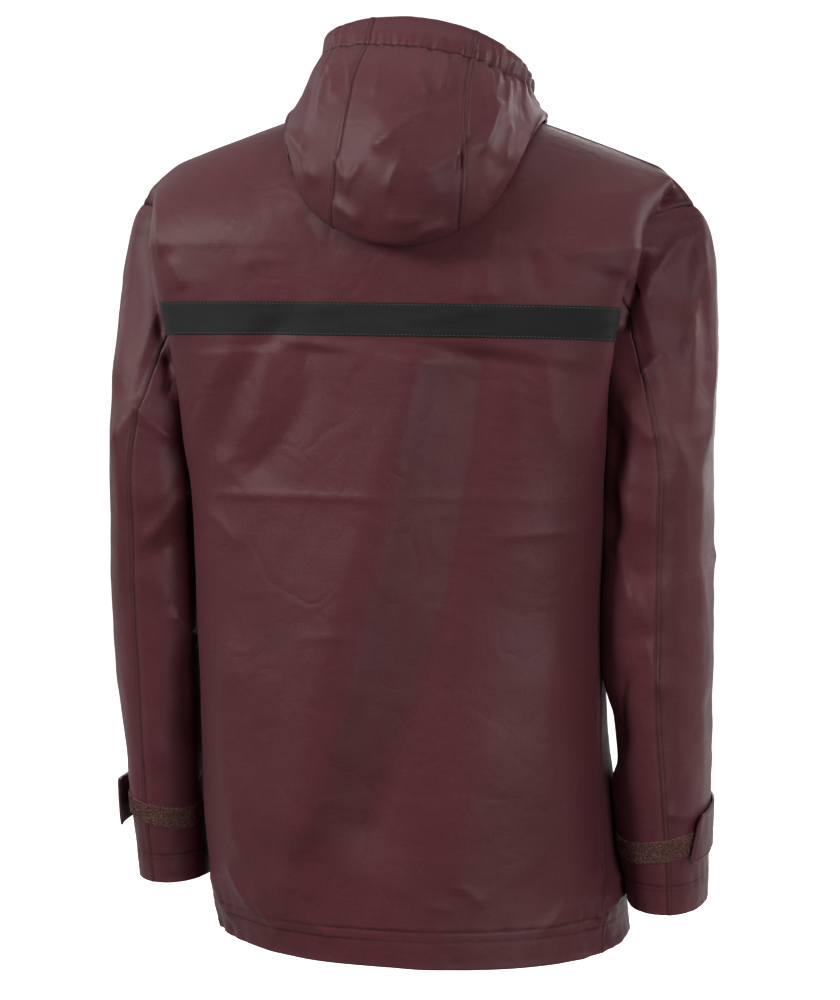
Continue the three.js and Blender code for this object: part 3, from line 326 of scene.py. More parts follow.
# How finely the cloths are divided: from, to, pitch, and a rim at both ends with its own pitch.
BODY_ROW_SPANS = ((HEM_Z, -732, 2.0), (-729, -118, 3.2), (YOKE_Z, DOME_TOP, 2.8, 8, 1.3))
BACK_SPANS, FRONT_SPANS = ((-1, 1, 0.0155, 0.032, 0.004),), ((0, 1, 0.0260, 0.03, 0.005),)
SLEEVE_ROW_SPANS = ((CUFF_Z, -640, 2.1), (-637.5, SLEEVE_TOP_Z - 1, 3.2), (0, 1, 0.013, 0.04, 0.006))
SLEEVE_SPANS = (
    (FRONT_SEAM - 1, BACK_SEAM, 0.013, 0.026, 0.0045),
    (BACK_SEAM, FRONT_SEAM, 0.0105, 0.026, 0.0045),
)
# Woven finishes: name, colour, threads a metre, roughness, and how many flecks of what fineness.
WOVEN = (
    ("band cloth", "band", 1700.0, 0.5),
    ("loop pile", "loop", 900.0, 0.9, 1.0, 760.0),
    ("thread", "thread", 4000.0, 0.55),
    ("band thread", "band_thread", 4000.0, 0.6),
    ("zip tape", "zip_tape", 1600.0, 0.7),
    ("zip teeth", "zip_tape", 900.0, 0.35),
)
ARM_ROUND = 260
LOOP_SPAN = (1 / TURN_COLUMNS, 15 / TURN_COLUMNS)
# The tabs lie from one angle round the arm to another, at a height, and their tips stand off.
TAB_START, TAB_END = 236, {1: 149, -1: 126}
TAB_Z, TAB_HEIGHT, TAB_GAP, TAB_STANDOFF = -662, 43, 0.6, {1: 9, -1: 2.5}
TOOTH_PITCH, TOOTH_SIZE, TOOTH_OFFSET = 2.4, (3.1, 0.95, 1.7), 1.25
TAPE_PLACES = np.array([0.4, 1.5, 3.0, 4.6, 9.0, 13.0, 16.0])
FLOOR_Z, FLOOR_RADIUS, FLOOR_BEND, WALL_HEIGHT = -1.35, 7.0, 3.0, 8
WORLD_STRENGTH, LIT_PLACE = 0.6, (0, 0, -0.3)
# Each light: name, place, size and power.
LIGHTS = (
    ("key", (2.4, 1.8, 1.1), 1.0, 86),
    ("fill", (-2.1, 2.6, 0.2), 1.6, 62),
    ("top", (-0.2, 0.2, 2.6), 1.8, 6),
    ("rim left", (2.5, -1.0, 0.5), 0.9, 7),
    ("rim right", (-2.5, -1.0, 0.5), 0.9, 30),
    ("backdrop", (0, -3.2, 0.4), 2.4, 60),
)


def axes():
    """The camera's place and its directions: ahead, to the right and up."""
    turn, lift = math.radians(TURN), math.radians(LIFT)
    away = np.array([-math.sin(turn) * math.cos(lift), math.cos(turn) * math.cos(lift), math.sin(lift)])
    right = np.cross(-away, (0, 0, 1))
    right /= np.linalg.norm(right)
    return TARGET + DISTANCE * away, -away, right, np.cross(right, -away)


def picture_place(points):
    """Where points fall in the picture, in its own units, across and down."""
    eye, ahead, right, up = axes()
    seen = points - eye
    scale = FOCAL / (seen @ ahead)
    return PICTURE[0] / 2 + scale * (seen @ right), PICTURE[1] / 2 - scale * (seen @ up)


def smooth_step(value, low, high):
    t = np.clip((value - low) / (high - low), 0, 1)
    return t * t * (3 - 2 * t)


def mix(a, b, t):
    return a + (b - a) * t


def hump(distance, width):
    """1 at no distance, and soft down to 0 a few widths away."""
    return np.exp(-((distance / width) ** 2))


def lines_at(distance, places, width=0.75):
    """1 on thin lines at the given distances and 0 between them."""
    return sum(hump(distance - place, width) for place in places)


def smooth_table(rows, at):
    """Every column of a table at the given places of its first, off smooth curves."""
    rows = np.array(sorted(rows), float)
    keys, last = rows[:, 0], len(rows) - 1
    k = np.arange(last + 1)
    before, after = np.maximum(k - 1, 0), np.minimum(k + 1, last)
    slopes = (rows[after] - rows[before]) / (keys[after] - keys[before])[:, None]
    at = np.asarray(at, float)
    i = np.clip(np.searchsorted(keys, at) - 1, 0, last - 1)
    span = (keys[i + 1] - keys[i])[..., None]
    t = np.clip((at - keys[i])[..., None] / span, 0, 1)
    start = (2 * t**3 - 3 * t**2 + 1) * rows[i] + (t**3 - 2 * t**2 + t) * slopes[i] * span
    end = (3 * t**2 - 2 * t**3) * rows[i + 1] + (t**3 - t**2) * slopes[i + 1] * span
    return np.moveaxis(start + end, -1, 0)


def rounded_line(points, bow, count=7):
    """A fold's line with its bow put in, or its corners rounded off."""
    points = np.array(points, float)
    if len(points) == 2:
        u = np.linspace(0, 1, count)[:, None]
        along = points[1] - points[0]
        side = np.array([along[1], -along[0]]) / np.hypot(*along)
        return points[0] + along * u + side * bow * 4 * u * (1 - u)
    ends = [2 * points[0] - points[1], *points, 2 * points[-1] - points[-2]]
    line = []
    for a, b, c, d in zip(ends, ends[1:], ends[2:], ends[3:]):
        square, cube = 2 * a - 5 * b + 4 * c - d, 3 * b - a - 3 * c + d
        for u in np.linspace(0, 1, 4)[:-1]:
            line.append(0.5 * (2 * b + (c - a) * u + square * u**2 + cube * u**3))
    return np.array([*line, points[-1]])


def relief(folds, across, up):
    """The height of all folds at the given places."""
    total = np.zeros(across.shape)
    for points, bow, height, left, right, soft, fade_in, fade_out in folds:
        line = rounded_line(points, bow)
        reach = 5 * max(left, right)
        low, high = line.min(0) - reach, line.max(0) + reach
        near = (across > low[0]) & (across < high[0]) & (up > low[1]) & (up < high[1])
        p = np.stack([across[near], up[near]], -1)
        steps = np.hypot(*np.diff(line, axis=0).T)
        starts = np.concatenate([[0], np.cumsum(steps)]) / steps.sum()
        best = np.full(len(p), 1e9)
        off, place = np.zeros(len(p)), np.zeros(len(p))
        for k, (a, b) in enumerate(zip(line, line[1:])):
            d, length = b - a, steps[k]
            t = (p - a) @ d / length**2
            inside = np.clip(t, 0, 1)
            gap = np.hypot(*(p - a - inside[:, None] * d).T)
            cross = ((p[:, 0] - a[0]) * d[1] - (p[:, 1] - a[1]) * d[0]) / length
            free = np.clip(t, 0 if k else -9, 1 if k < len(steps) - 1 else 9)
            closer = gap < best
            best = np.where(closer, gap, best)
            off = np.where(closer, cross, off)
            place = np.where(closer, starts[k] + free * (starts[k + 1] - starts[k]), place)
        width = np.where(off < 0, left, right)
        soft *= CREST_SHARPNESS
        crest = np.exp((soft - np.hypot(off, soft)) / width)
        fade = smooth_step(place, 0, fade_in) * (1 - smooth_step(place, 1 - fade_out, 1))
        total[near] += height * crest * fade
    return total


def ripple(across, up, size, seed):
    """Soft uneven waves from -1 to 1, about size apart."""
    rng = np.random.default_rng(seed)
    total = np.zeros(np.shape(across))
    for _ in range(9):
        angle, phase = rng.uniform(0, np.pi), rng.uniform(0, 2 * np.pi)
        pace = 2 * np.pi / (size * rng.uniform(0.7, 1.5))
        total = total + np.sin(pace * (across * np.cos(angle) + up * np.sin(angle)) + phase)
    return total / 5


def waves(across, up, *rows):
    """Several soft unevennesses together, each a height, a size and a seed."""
    return sum(height * ripple(across, up, size, seed) for height, size, seed in rows)


def normals_of(grid, facing):
    """Unit normals of a grid. facing is -1 where its columns run to the left, seen from outside."""
    n = np.cross(np.gradient(grid, axis=1), np.gradient(grid, axis=0)) * facing
    return n / np.maximum(np.linalg.norm(n, axis=-1, keepdims=True), 1e-9)


def torso_point(angle, z):
    """A place on the body at an angle from the centre back, positive to the wearer's left."""
    _, half, back, front, centre, sway, square, pinch, flare = smooth_table(TORSO, z)
    a = np.radians(np.abs(angle))
    power = 2 / square
    depth = np.where(np.cos(a) >= 0, back, -front)
    y = centre + depth * np.abs(np.cos(a)) ** power
    press = pinch * hump(y - PINCH_Y, PINCH_SPREAD)
    out = flare * np.maximum(0, -np.sin(2 * a))
    x = np.maximum(0, half * np.abs(np.sin(a)) ** power - press + out)
    return np.stack([sway + np.sign(angle) * x, y, z * np.ones_like(x)], -1)


def shoulder_point(w):
    """The shoulder seam, from the neck point (0) to the shoulder tip (1)."""
    w = np.clip(w, 0, 1)
    fall = SHOULDER_FALL * w**1.1 + SHOULDER_DROP * w**12
    return np.stack([mix(NECK_HALF_WIDTH, SHOULDER_TIP_X, w), 0 * w, NECK_POINT_Z - fall], -1)


def back_top(s):
    share = np.abs(s) / BACK_NECK_SHARE
    a = np.radians(90 * np.minimum(share, 1))
    across, rise = np.sin(a), 1 - np.cos(a)
    neck = np.stack([NECK_HALF_WIDTH * across, NECK_BACK_Y * np.cos(a), NECK_POINT_Z * rise], -1)
    shoulder = shoulder_point((np.abs(s) - BACK_NECK_SHARE) / (1 - BACK_NECK_SHARE))
    top = np.where((share > 1)[..., None], shoulder, neck)
    top[..., 0] *= np.sign(s)
    return top


def front_top(s):
    a = np.radians(90 * np.minimum(s / FRONT_NECK_SHARE, 1))
    down = np.maximum(np.cos(a), 0)
    x, z = mix(ZIP_HALF, NECK_HALF_WIDTH, np.sin(a)), mix(NECK_POINT_Z, NECK_FRONT_Z, down**1.3)
    neck = np.stack([x, NECK_FRONT_Y * down, z], -1)
    shoulder = shoulder_point((s - FRONT_NECK_SHARE) / (1 - FRONT_NECK_SHARE))
    return np.where((s > FRONT_NECK_SHARE)[..., None], shoulder, neck)


def rounded_over(base, top, height):
    """From the yoke line to the top edge along a rounded arch, as height goes on above it."""
    a = np.radians(90 * np.clip((height - YOKE_Z) / DOME_SPAN, 0, 1))
    inward = (1 - np.maximum(0, np.cos(a)) ** DOME_POWER)[..., None]
    up = np.sin(a) ** DOME_POWER
    place = mix(base, top, inward)
    place[..., 2] = mix(base[..., 2], top[..., 2], up)
    return place


def back_point(s, height):
    """The back at a share of its half width. Above the yoke, height is measured along the arch."""
    s, height = np.broadcast_arrays(np.asarray(s, float), np.asarray(height, float))
    z = np.minimum(height, YOKE_Z)
    bell = np.sin(np.pi * np.clip((z - UNDERARM_Z) / (YOKE_Z - UNDERARM_Z), 0, 1))
    dipped = z - BAND_DIP * s * s * np.maximum(bell, 0)
    base = torso_point(s * smooth_table(SIDE_EDGE, dipped)[1], dipped)
    return rounded_over(base, back_top(s), height)


def front_point(s, height, side):
    """A front, from the centre line (0) to its side edge (1)."""
    s, height = np.broadcast_arrays(np.asarray(s, float), np.asarray(height, float))
    z = np.minimum(height, YOKE_Z)
    base = torso_point(180 - (180 - smooth_table(SIDE_EDGE, z)[2]) * s, z)
    base[..., 0] += ZIP_HALF * (1 - s) ** 2
    place = rounded_over(base, front_top(s), height)
    if side < 0:
        rise = np.clip((height - YOKE_Z) / DOME_SPAN, 0, 1)
        by_zip = np.cos(np.radians(90 * rise)) ** DOME_POWER
        kept = mix(np.maximum(0, 1 - rise * DOME_STEPS), by_zip, (1 - s) ** 2)
        place[..., 0] = 2 * smooth_table(TORSO, z)[5] * kept - place[..., 0]
    return place


def armhole_point(share, side):
    """The armhole as a loop from the underarm up the back edge and down the front edge."""
    column = (share % 1) * TURN_COLUMNS
    up = np.where(column > ARM_SEGMENTS, TURN_COLUMNS - column, column)
    below = len(ARM_ROWS) - 1
    z = np.interp(up, np.arange(len(ARM_ROWS)), ARM_ROWS)
    height = np.where(up > below, YOKE_Z + DOME_SPAN * (up - below) / DOME_STEPS, z)
    behind = (column <= ARM_SEGMENTS)[..., None]
    one = np.ones_like(share)
    return np.where(behind, back_point(side * one, height), front_point(one, height, side))


def sleeve_ring(share, z, side):
    """A sleeve's ring. Share 0 is at the body, a quarter at the back, a half outside."""
    _, left, right, y, half_width, half_depth, square, skew = smooth_table(SLEEVE, z)
    a = 2 * np.pi * share
    across = np.sign(np.cos(a)) * np.abs(np.cos(a)) ** (2 / square)
    deep = np.sign(np.sin(a)) * np.abs(np.sin(a)) ** (2 / square)
    x = (left if side > 0 else right) - half_width * across - skew * deep
    return np.stack([side * x, y + half_depth * deep, z * np.ones_like(x)], -1)


def sleeve_point(share, height, side):
    """A sleeve. height is z below its first ring, and 0 to 1 from there up to the armhole."""
    share, height = np.broadcast_arrays(np.asarray(share, float), np.asarray(height, float))
    t = np.clip(1 - height, 0, 1)[..., None]
    start, end = armhole_point(share, side), sleeve_ring(share, np.float64(SLEEVE_TOP_Z), side)
    outer = 0.5 - 0.5 * np.cos(2 * np.pi * share)
    reach = np.linalg.norm(start - end, axis=-1)
    zero = np.zeros_like(reach)
    sideways = mix(42, 92 if side > 0 else 108, outer)
    leave = np.stack([side * sideways, zero, -mix(0.35 * reach, 66, outer)], -1)
    arrive = np.stack([zero, zero, -mix(0.8, 0.9, outer) * reach], -1)
    cap = (2 * t**3 - 3 * t**2 + 1) * start + (t**3 - 2 * t**2 + t) * leave
    cap = cap + (3 * t**2 - 2 * t**3) * end + (t**3 - t**2) * arrive
    tube = sleeve_ring(share, np.minimum(height, SLEEVE_TOP_Z), side)
    return np.where((height >= 0)[..., None], cap, tube)


def neck_point(share):
    """The neckline from the right front edge round the back to the left one."""
    place = share * 26
    right, left = np.clip(place / 6, 0, 1), np.clip((26 - place) / 6, 0, 1)
    back = back_point(BACK_NECK_SHARE * np.clip((place - 13) / 7, -1, 1), DOME_TOP)
    front_right = front_point(FRONT_NECK_SHARE * right, DOME_TOP, -1)
    front_left = front_point(FRONT_NECK_SHARE * left, DOME_TOP, 1)
    first = np.where((place < 6)[..., None], front_right, back)
    return np.where((place > 20)[..., None], front_left, first)


def shoulder_faces():
    """Triangles of the shoulders, which the hood lies on."""
    rows = np.linspace(-146, DOME_TOP, 14)[:, None]
    grids = [back_point(np.linspace(-1, 1, 31)[None], rows)]
    grids += [front_point(np.linspace(0, 1, 16)[None], rows, side) for side in (1, -1)]
    faces = []
    for g in grids:
        a, b, c, d = g[:-1, :-1], g[:-1, 1:], g[1:, 1:], g[1:, :-1]
        faces += [np.stack([a, b, c], -2).reshape(-1, 3, 3), np.stack([a, c, d], -2).reshape(-1, 3, 3)]
    return np.concatenate(faces)


def shoulder_top(place):
    """How high the shoulders reach above each place, or far below where there are none."""
    x, y = place[..., 0], place[..., 1]
    top = np.full(x.shape, -1e6)
    for a, b, c in shoulder_faces():
        area = (b[0] - a[0]) * (c[1] - a[1]) - (c[0] - a[0]) * (b[1] - a[1])
        if abs(area) < 1e-9:
            continue
        v = ((x - a[0]) * (c[1] - a[1]) - (c[0] - a[0]) * (y - a[1])) / area
        w = ((b[0] - a[0]) * (y - a[1]) - (x - a[0]) * (b[1] - a[1])) / area
        over = (v >= -0.01) & (w >= -0.01) & (v + w <= 1.01)
        top = np.where(over, np.maximum(top, a[2] + v * (b[2] - a[2]) + w * (c[2] - a[2])), top)
    return top


def hood_point(angle, row):
    """The hood. Angle 0 is the centre back and 180 the left front edge."""
    angle, row = np.broadcast_arrays(np.asarray(angle, float), np.asarray(row, float))
    _, side, back_y, front_y, back_z, side_z, front_z, shift, swing, tilt, clear = smooth_table(HOOD, row)
    a = np.radians(angle)
    back, front = np.maximum(0, np.cos(a)), np.maximum(0, -np.cos(a))
    y = HOOD_CENTRE_Y + (back_y - HOOD_CENTRE_Y) * back**0.85 + (front_y - HOOD_CENTRE_Y) * front**0.9
    z = side_z + (back_z - side_z) * back + (front_z - side_z) * front + tilt * np.sin(a)
    opening = ZIP_HALF * np.sign(angle) * front**4
    x = shift * (1 - front**2) + swing * back**2 + side * np.sin(a) + opening
    ring = np.stack([x, y, z], -1)
    ring[..., 2] = np.maximum(z, shoulder_top(ring) + clear)
    return mix(neck_point((angle + 180) / 360), ring, np.clip(row / 2, 0, 1)[..., None])


def mesh_of(bm, name, smooth=True):
    """Turns finished bmesh work into a mesh."""
    mesh = bpy.data.meshes.new(name)
    bm.to_mesh(mesh)
    bm.free()
    if smooth:
        mesh.polygons.foreach_set("use_smooth", np.ones(len(mesh.polygons), bool))
    return mesh


def linked(name, data):
    """A new object in the scene."""
    thing = bpy.data.objects.new(name, data)
    bpy.context.collection.objects.link(thing)
    return thing


class Cloth:
    """A grid of points of a finished outer surface, which seams and stitches are read from."""

    def __init__(self, columns, rows, points, facing):
        self.columns, self.rows, self.facing = np.asarray(columns, float), np.asarray(rows, float), facing
        self.points, self.normals = points, normals_of(points, facing)

    def raised(self, height):
        """The same cloth moved out by a height at every point."""
        return Cloth(self.columns, self.rows, self.points + self.normals * height[..., None], self.facing)

    def between(self, first, last):
        """The columns from first to last."""
        keep = (self.columns >= first - 1e-9) & (self.columns <= last + 1e-9)
        part = Cloth(self.columns[keep], self.rows, self.points[:, keep], self.facing)
        part.normals = self.normals[:, keep]
        return part

    def at(self, columns, rows, lift=0.0):
        """Points and normals at the given columns and rows, lifted off the cloth."""
        columns, rows = np.broadcast_arrays(np.asarray(columns, float), np.asarray(rows, float))
        c = np.interp(columns, self.columns, np.arange(len(self.columns)))
        r = np.interp(rows, self.rows, np.arange(len(self.rows)))
        i = np.minimum(r.astype(int), len(self.rows) - 2)
        j = np.minimum(c.astype(int), len(self.columns) - 2)
        u, v = (c - j)[..., None], (r - i)[..., None]
        read = []
        for g in (self.points, self.normals):
            lower = g[i, j] * (1 - u) + g[i, j + 1] * u
            upper = g[i + 1, j] * (1 - u) + g[i + 1, j + 1] * u
            read.append(lower * (1 - v) + upper * v)
        n = read[1] / np.linalg.norm(read[1], axis=-1, keepdims=True)
        return read[0] + n * lift, n

    def from_side(self):
        """How far each point is from the nearer of the first and last column, along the cloth."""
        steps = np.linalg.norm(np.diff(self.points, axis=1), axis=-1)
        from_first = np.concatenate([np.zeros((len(steps), 1)), np.cumsum(steps, 1)], 1)
        return np.minimum(from_first, from_first[:, -1:] - from_first)

    def along(self, row):
        """How far along the cloth each column is, measured at one row."""
        steps = np.linalg.norm(np.diff(self.points[row], axis=0), axis=-1)
        return np.concatenate([[0], np.cumsum(steps)])

    def up(self, row):
        """How far above one row each point is, measured up its column."""
        steps = np.linalg.norm(np.diff(self.points, axis=0), axis=-1)
        heights = np.concatenate([np.zeros((1, steps.shape[1])), np.cumsum(steps, 0)])
        return heights - heights[row]

    def turned_in(self, width, radius, at_top=False):
        """The same cloth with its first or last rows turned in to a hem of the given width."""
        flip = slice(None, None, -1 if at_top else 1)
        points, normals = self.points[flip], self.normals[flip]
        away = points[0] - points[1]
        away /= np.linalg.norm(away, axis=-1, keepdims=True)
        bend = [
            points[0] - normals[0] * radius * (1 - math.cos(a)) + away * radius * math.sin(a)
            for a in np.linspace(math.pi, 0, 9)[1:-1]
        ]
        depth = np.linalg.norm(points - points[0], axis=-1).mean(1)
        inner = [points[i] - normals[i] * 2 * radius for i in range(len(points)) if depth[i] < width]
        rows = np.concatenate([inner[::-1], bend, points])
        return Cloth(self.columns, np.arange(len(rows)), rows[flip], self.facing)


def spaced(low, high, pitch, edges=0.0, fine=1.0):
    """Places from low to high about a pitch apart, and finer within edges of either end."""
    inner = np.linspace(low + edges, high - edges, max(2, round((high - low - 2 * edges) / pitch) + 1))
    if edges <= 0:
        return inner
    rim = np.linspace(0, edges, max(2, round(edges / fine) + 1))[:-1]
    return np.concatenate([low + rim, inner, (high - rim)[::-1]])


def spans(*rows):
    """Places in several stretches, each given as to spaced."""
    return np.unique(np.concatenate([spaced(*row) for row in rows]))


def sheet_object(name, cloth, thickness, material):
    """One sheet of cloth on a grid, with its thickness inwards and its UV map in metres."""
    rows, columns = cloth.points.shape[:2]
    bm = bmesh.new()
    bmesh.ops.create_grid(bm, x_segments=columns - 1, y_segments=rows - 1, size=1.0)
    for vertex, place in zip(bm.verts, (cloth.points * MM).reshape(-1, 3)):
        vertex.co = place
    if cloth.facing < 0:
        bmesh.ops.reverse_faces(bm, faces=bm.faces)
    mesh = mesh_of(bm, name)
    across = np.linalg.norm(np.diff(cloth.points, axis=1), axis=-1).mean(0).cumsum() * MM
    down = np.linalg.norm(np.diff(cloth.points, axis=0), axis=-1).mean(1).cumsum() * MM
    u, v = np.meshgrid(np.concatenate([[0], across]), np.concatenate([[0], down]))
    flat = np.stack([u.ravel(), v.ravel()], -1)
    corner = np.zeros(len(mesh.loops), np.int32)
    mesh.loops.foreach_get("vertex_index", corner)
    mesh.uv_layers.new(name="cloth").data.foreach_set("uv", flat[corner].astype(np.float32).ravel())
    mesh.materials.append(material)
    piece = linked(name, mesh)
    solid = piece.modifiers.new("thickness", "SOLIDIFY")
    solid.thickness = thickness
    solid.offset = -1.0
    solid.use_even_offset = False
    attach(piece, BODY)
    return piece


CLOTHS = {}


def declare_strip(cloth):
    """Works out the flat size of a strip that is cut straight and sewn on, and keeps none of it."""
    float(cloth.along(0)[-1]) * MM
    float(cloth.up(0)[-1].mean()) * MM


def seam_relief(distance):
    """A felled seam: a raised strip beside a shallow groove, with its two sunk rows of stitches."""
    strip = smooth_step(distance, 0.1, 1.2)
    strip *= 1 - smooth_step(distance, SEAM_WIDTH - 0.5, SEAM_WIDTH + 0.9)
    return SEAM_HEIGHT * strip - 0.8 * lines_at(distance, SEAM_ROWS, 0.8)


def pinches(along, up, seed, spacing, depth, width, reach):
    """Small uneven gathers across a row of stitches that runs along the cloth at up = 0."""
    rng = np.random.default_rng(seed)
    total = np.zeros(np.broadcast_shapes(along.shape, up.shape))
    near = np.abs(up).min(1) < 3 * reach
    place, end = float(along.min()), float(along.max())
    flat = along if along.ndim == 1 else along[0]
    while place < end:
        place += spacing * rng.uniform(0.45, 1.7)
        size, spread = depth * rng.uniform(0.25, 1.0), width * rng.uniform(0.6, 1.5)
        above, below = reach * rng.uniform(0.4, 1.3, 2)
        lean = rng.uniform(-0.35, 0.35)
        columns = np.abs(flat - place) < 4 * spread + 0.4 * reach
        if not columns.any():
            continue
        part = np.ix_(near, columns)
        off = flat[columns] - place - lean * up[part]
        fall = np.exp(-np.abs(up[part]) / np.where(up[part] > 0, above, below))
        total[part] -= size * hump(off, spread) * fall
    return total


def edge_fade(share, span=0.08):
    return np.clip((1 - np.abs(share)) / span, 0, 1)


def yoke_fade(height):
    return 1 - np.clip((height - YOKE_Z) / DOME_SPAN * 3, 0, 1)


def seen(cloth):
    """1 where the cloth faces the picture's camera and 0 where it faces away."""
    to_eye = axes()[0] - cloth.points
    to_eye /= np.linalg.norm(to_eye, axis=-1, keepdims=True)
    return smooth_step((cloth.normals * to_eye).sum(-1), -0.05, 0.25)


def hem_relief(cloth, seed):
    """The turned hem: thicker cloth up to its stitches, with soft puckers along both rows."""
    up, along = cloth.up(0), cloth.along(0)
    turned = 0.35 * (1 - smooth_step(up, HEM_WIDTH + 1, HEM_WIDTH + 4))
    gathers = pinches(along, up - HEM_ROWS[1], seed, 11, 1.2, 3.8, 9)
    gathers += pinches(along, up - 6, seed + 1, 17, 1.5, 6, 14)
    gathers *= 0.6 + 2.6 * smooth_step(np.abs(cloth.columns), 0.6, 0.92)
    sway = 0.9 * ripple(np.broadcast_to(along, up.shape), up * 0.4, 60, seed) * np.exp(-up / 30)
    return turned - 0.525 * lines_at(up, HEM_ROWS, 1.1) + gathers + sway


def body_cloths():
    """The back and the two fronts, with their folds, creases, seams and hem."""
    heights, shares = spans(*BODY_ROW_SPANS), spans(*BACK_SPANS)
    s, h = np.meshgrid(shares, heights)
    base = Cloth(shares, heights, back_point(s, h), -1)
    x, z = base.points[..., 0], base.points[..., 2]
    picture = picture_place(base.points)
    folds = relief(BACK_FOLDS, x, z) + PRESSED["back"] * relief(BACK_CREASES, *picture)
    folds += waves(x, z, (0.6, 90, 11), (0.2, 36, 12))
    height = folds * edge_fade(s) * yoke_fade(h)
    height += PRESSED["yoke"] * relief(YOKE_CREASES, *picture) * edge_fade(s, 0.02)
    height += hem_relief(base, 61) + seam_relief(base.from_side())
    height += PRESSED["hem"] * relief(HEM_CREASES, *picture)
    shoulder = smooth_step(np.abs(s), BACK_NECK_SHARE + 0.02, BACK_NECK_SHARE + 0.05)
    height += seam_relief(-base.up(-1)) * shoulder
    CLOTHS["back"] = base.raised(height)
    shares = spans(*FRONT_SPANS)
    s, h = np.meshgrid(shares, heights)
    for side, name in ((1, "front_left"), (-1, "front_right")):
        base = Cloth(shares, heights, front_point(s, h, side), side)
        x, z = base.points[..., 0], base.points[..., 2]
        folds = relief(FRONT_FOLDS, np.abs(x), z) + relief(FRONT_CREASES[side], x, z)
        folds += waves(x, z, (0.7, 85, 21 + side), (0.2, 32, 24 + side))
        height = folds * edge_fade(s) * np.clip(s / 0.1, 0, 1) * yoke_fade(h)
        height += hem_relief(base, 64 + 3 * side)
        height += PRESSED["hem"] * relief(HEM_CREASES, *picture_place(base.points)) * seen(base)
        CLOTHS[name] = base.raised(height)


def sleeve_cloths():
    """Both sleeves, each as a whole tube that is cut into an upper and an under piece."""
    shares, heights = spans(*SLEEVE_SPANS), spans(*SLEEVE_ROW_SPANS)
    s, h = np.meshgrid(shares, heights)
    for side, word in ((1, "left"), (-1, "right")):
        base = Cloth(shares, np.arange(len(heights)), sleeve_point(s, h, side), -side)
        z = base.points[..., 2]
        steps_down = np.where(h >= 0, (1 - h) * 7, 9)
        near_cap = np.clip(steps_down / 2, 0, 1)
        picture, shown, round_arm = picture_place(base.points), seen(base), ARM_ROUND * (s % 1)
        folds = relief(SLEEVE_FOLDS, np.degrees(2 * np.pi * (s % 1)), z)
        folds += PRESSED["sleeve"] * relief(SLEEVE_CREASES[side], *picture) * shown
        folds += relief(UNDER_CREASES, round_arm, z) * (1 - shown)
        folds += waves(ARM_ROUND * s, z, (0.8, 60, 31 + side), (0.3, 26, 34 + side))
        height = folds * (near_cap * np.clip((z + 664) / 30, 0, 1))
        cap = relief(CAP_CREASES[side], *picture) * shown
        height += PRESSED["cap"] * cap * np.clip(steps_down / 0.6, 0, 1)
        if side < 0:
            inner = np.minimum(s % 1, 1 - s % 1)
            height += smooth_table(INNER_BULGE, z)[1] * hump(inner, 0.11) * near_cap
        upper = (s >= BACK_SEAM - 1e-9) & (s <= FRONT_SEAM + 1e-9)
        part = base.raised(height).between(BACK_SEAM, FRONT_SEAM)
        height[upper] += seam_relief(part.from_side()).reshape(-1)
        up, along = base.up(0), base.along(0)
        height += 0.25 * (1 - smooth_step(up, CUFF_WIDTH + 1, CUFF_WIDTH + 4))
        height -= 0.4 * lines_at(up, CUFF_ROWS)
        height += pinches(along, up - CUFF_WIDTH, 51 + side, 15, 1.5, 4.2, 12)
        height += pinches(along, up - 4, 54 + side, 21, 1.5, 6, 14)
        cloth = base.raised(height)
        cloth.heights = heights
        CLOTHS[f"sleeve_{word}"] = cloth


def sleeve_row(cloth, z):
    """The row of a sleeve at a height below its first ring."""
    half = len(cloth.heights) // 2
    return float(np.interp(z, cloth.heights[:half], np.arange(half)))


def hood_cloth():
    """The hood as one surface, which is cut into three panels."""
    turn = HOOD_SEAM_ANGLE
    angles = spans(*((*ends, 0.9, 5, 0.6) for ends in ((-180, -turn), (-turn, turn), (turn, 180))))
    rows = spans((0, 7, 0.4), (7.15, 14.2, 0.15), (14.28, HOOD_TOP_ROW, 0.08))
    a, r = np.meshgrid(angles, rows)
    base = Cloth(angles, rows, hood_point(a, r), -1)
    casing = int(np.argmin(np.abs(rows - CASING_ROW)))
    up, along = base.up(casing), base.along(casing)
    outside = seen(base) * smooth_step(r, 7.2, 8.2)
    folds = relief(HOOD_FOLDS, a, r * 7) + relief(HOOD_INNER_CREASES, a, r * 7)
    folds += waves(2 * a, r * 14, (0.5, 60, 42), (0.25, 24, 43))
    folds += PRESSED["hood"] * relief(HOOD_CREASES, *picture_place(base.points)) * outside
    tunnel = 1.8 * hump(up - 13, 8) - 1.2 * hump(up, 1.2)
    gathers = pinches(along, up, 71, 4.6, 3.0, 1.5, 9) + pinches(along, up, 72, 13, 3.4, 3.4, 22)
    gathers *= 0.6 + 0.8 * smooth_step(-a, 10, 60)
    height = (folds + tunnel + gathers) * np.clip(r / 2, 0, 1)
    by_seam = np.abs(np.abs(a) - turn) < 60
    for first, last in ((-180, -turn), (turn, 180)):
        side = (a >= first - 1e-9) & (a <= last + 1e-9)
        height[side] += seam_relief(base.between(first, last).from_side().reshape(-1)) * by_seam[side]
    CLOTHS["hood"] = base.raised(height)


# Node groups that more than one finish uses.


def node_group(name, inputs, outputs):
    """An empty shader node group with named number sockets, and defaults for its inputs."""
    tree = bpy.data.node_groups.new(name, "ShaderNodeTree")
    for label, default in inputs.items():
        socket = tree.interface.new_socket(name=label, in_out="INPUT", socket_type="NodeSocketFloat")
        socket.default_value = default
    for label in outputs:
        tree.interface.new_socket(name=label, in_out="OUTPUT", socket_type="NodeSocketFloat")
    return tree, tree.nodes.new("NodeGroupInput"), tree.nodes.new("NodeGroupOutput")


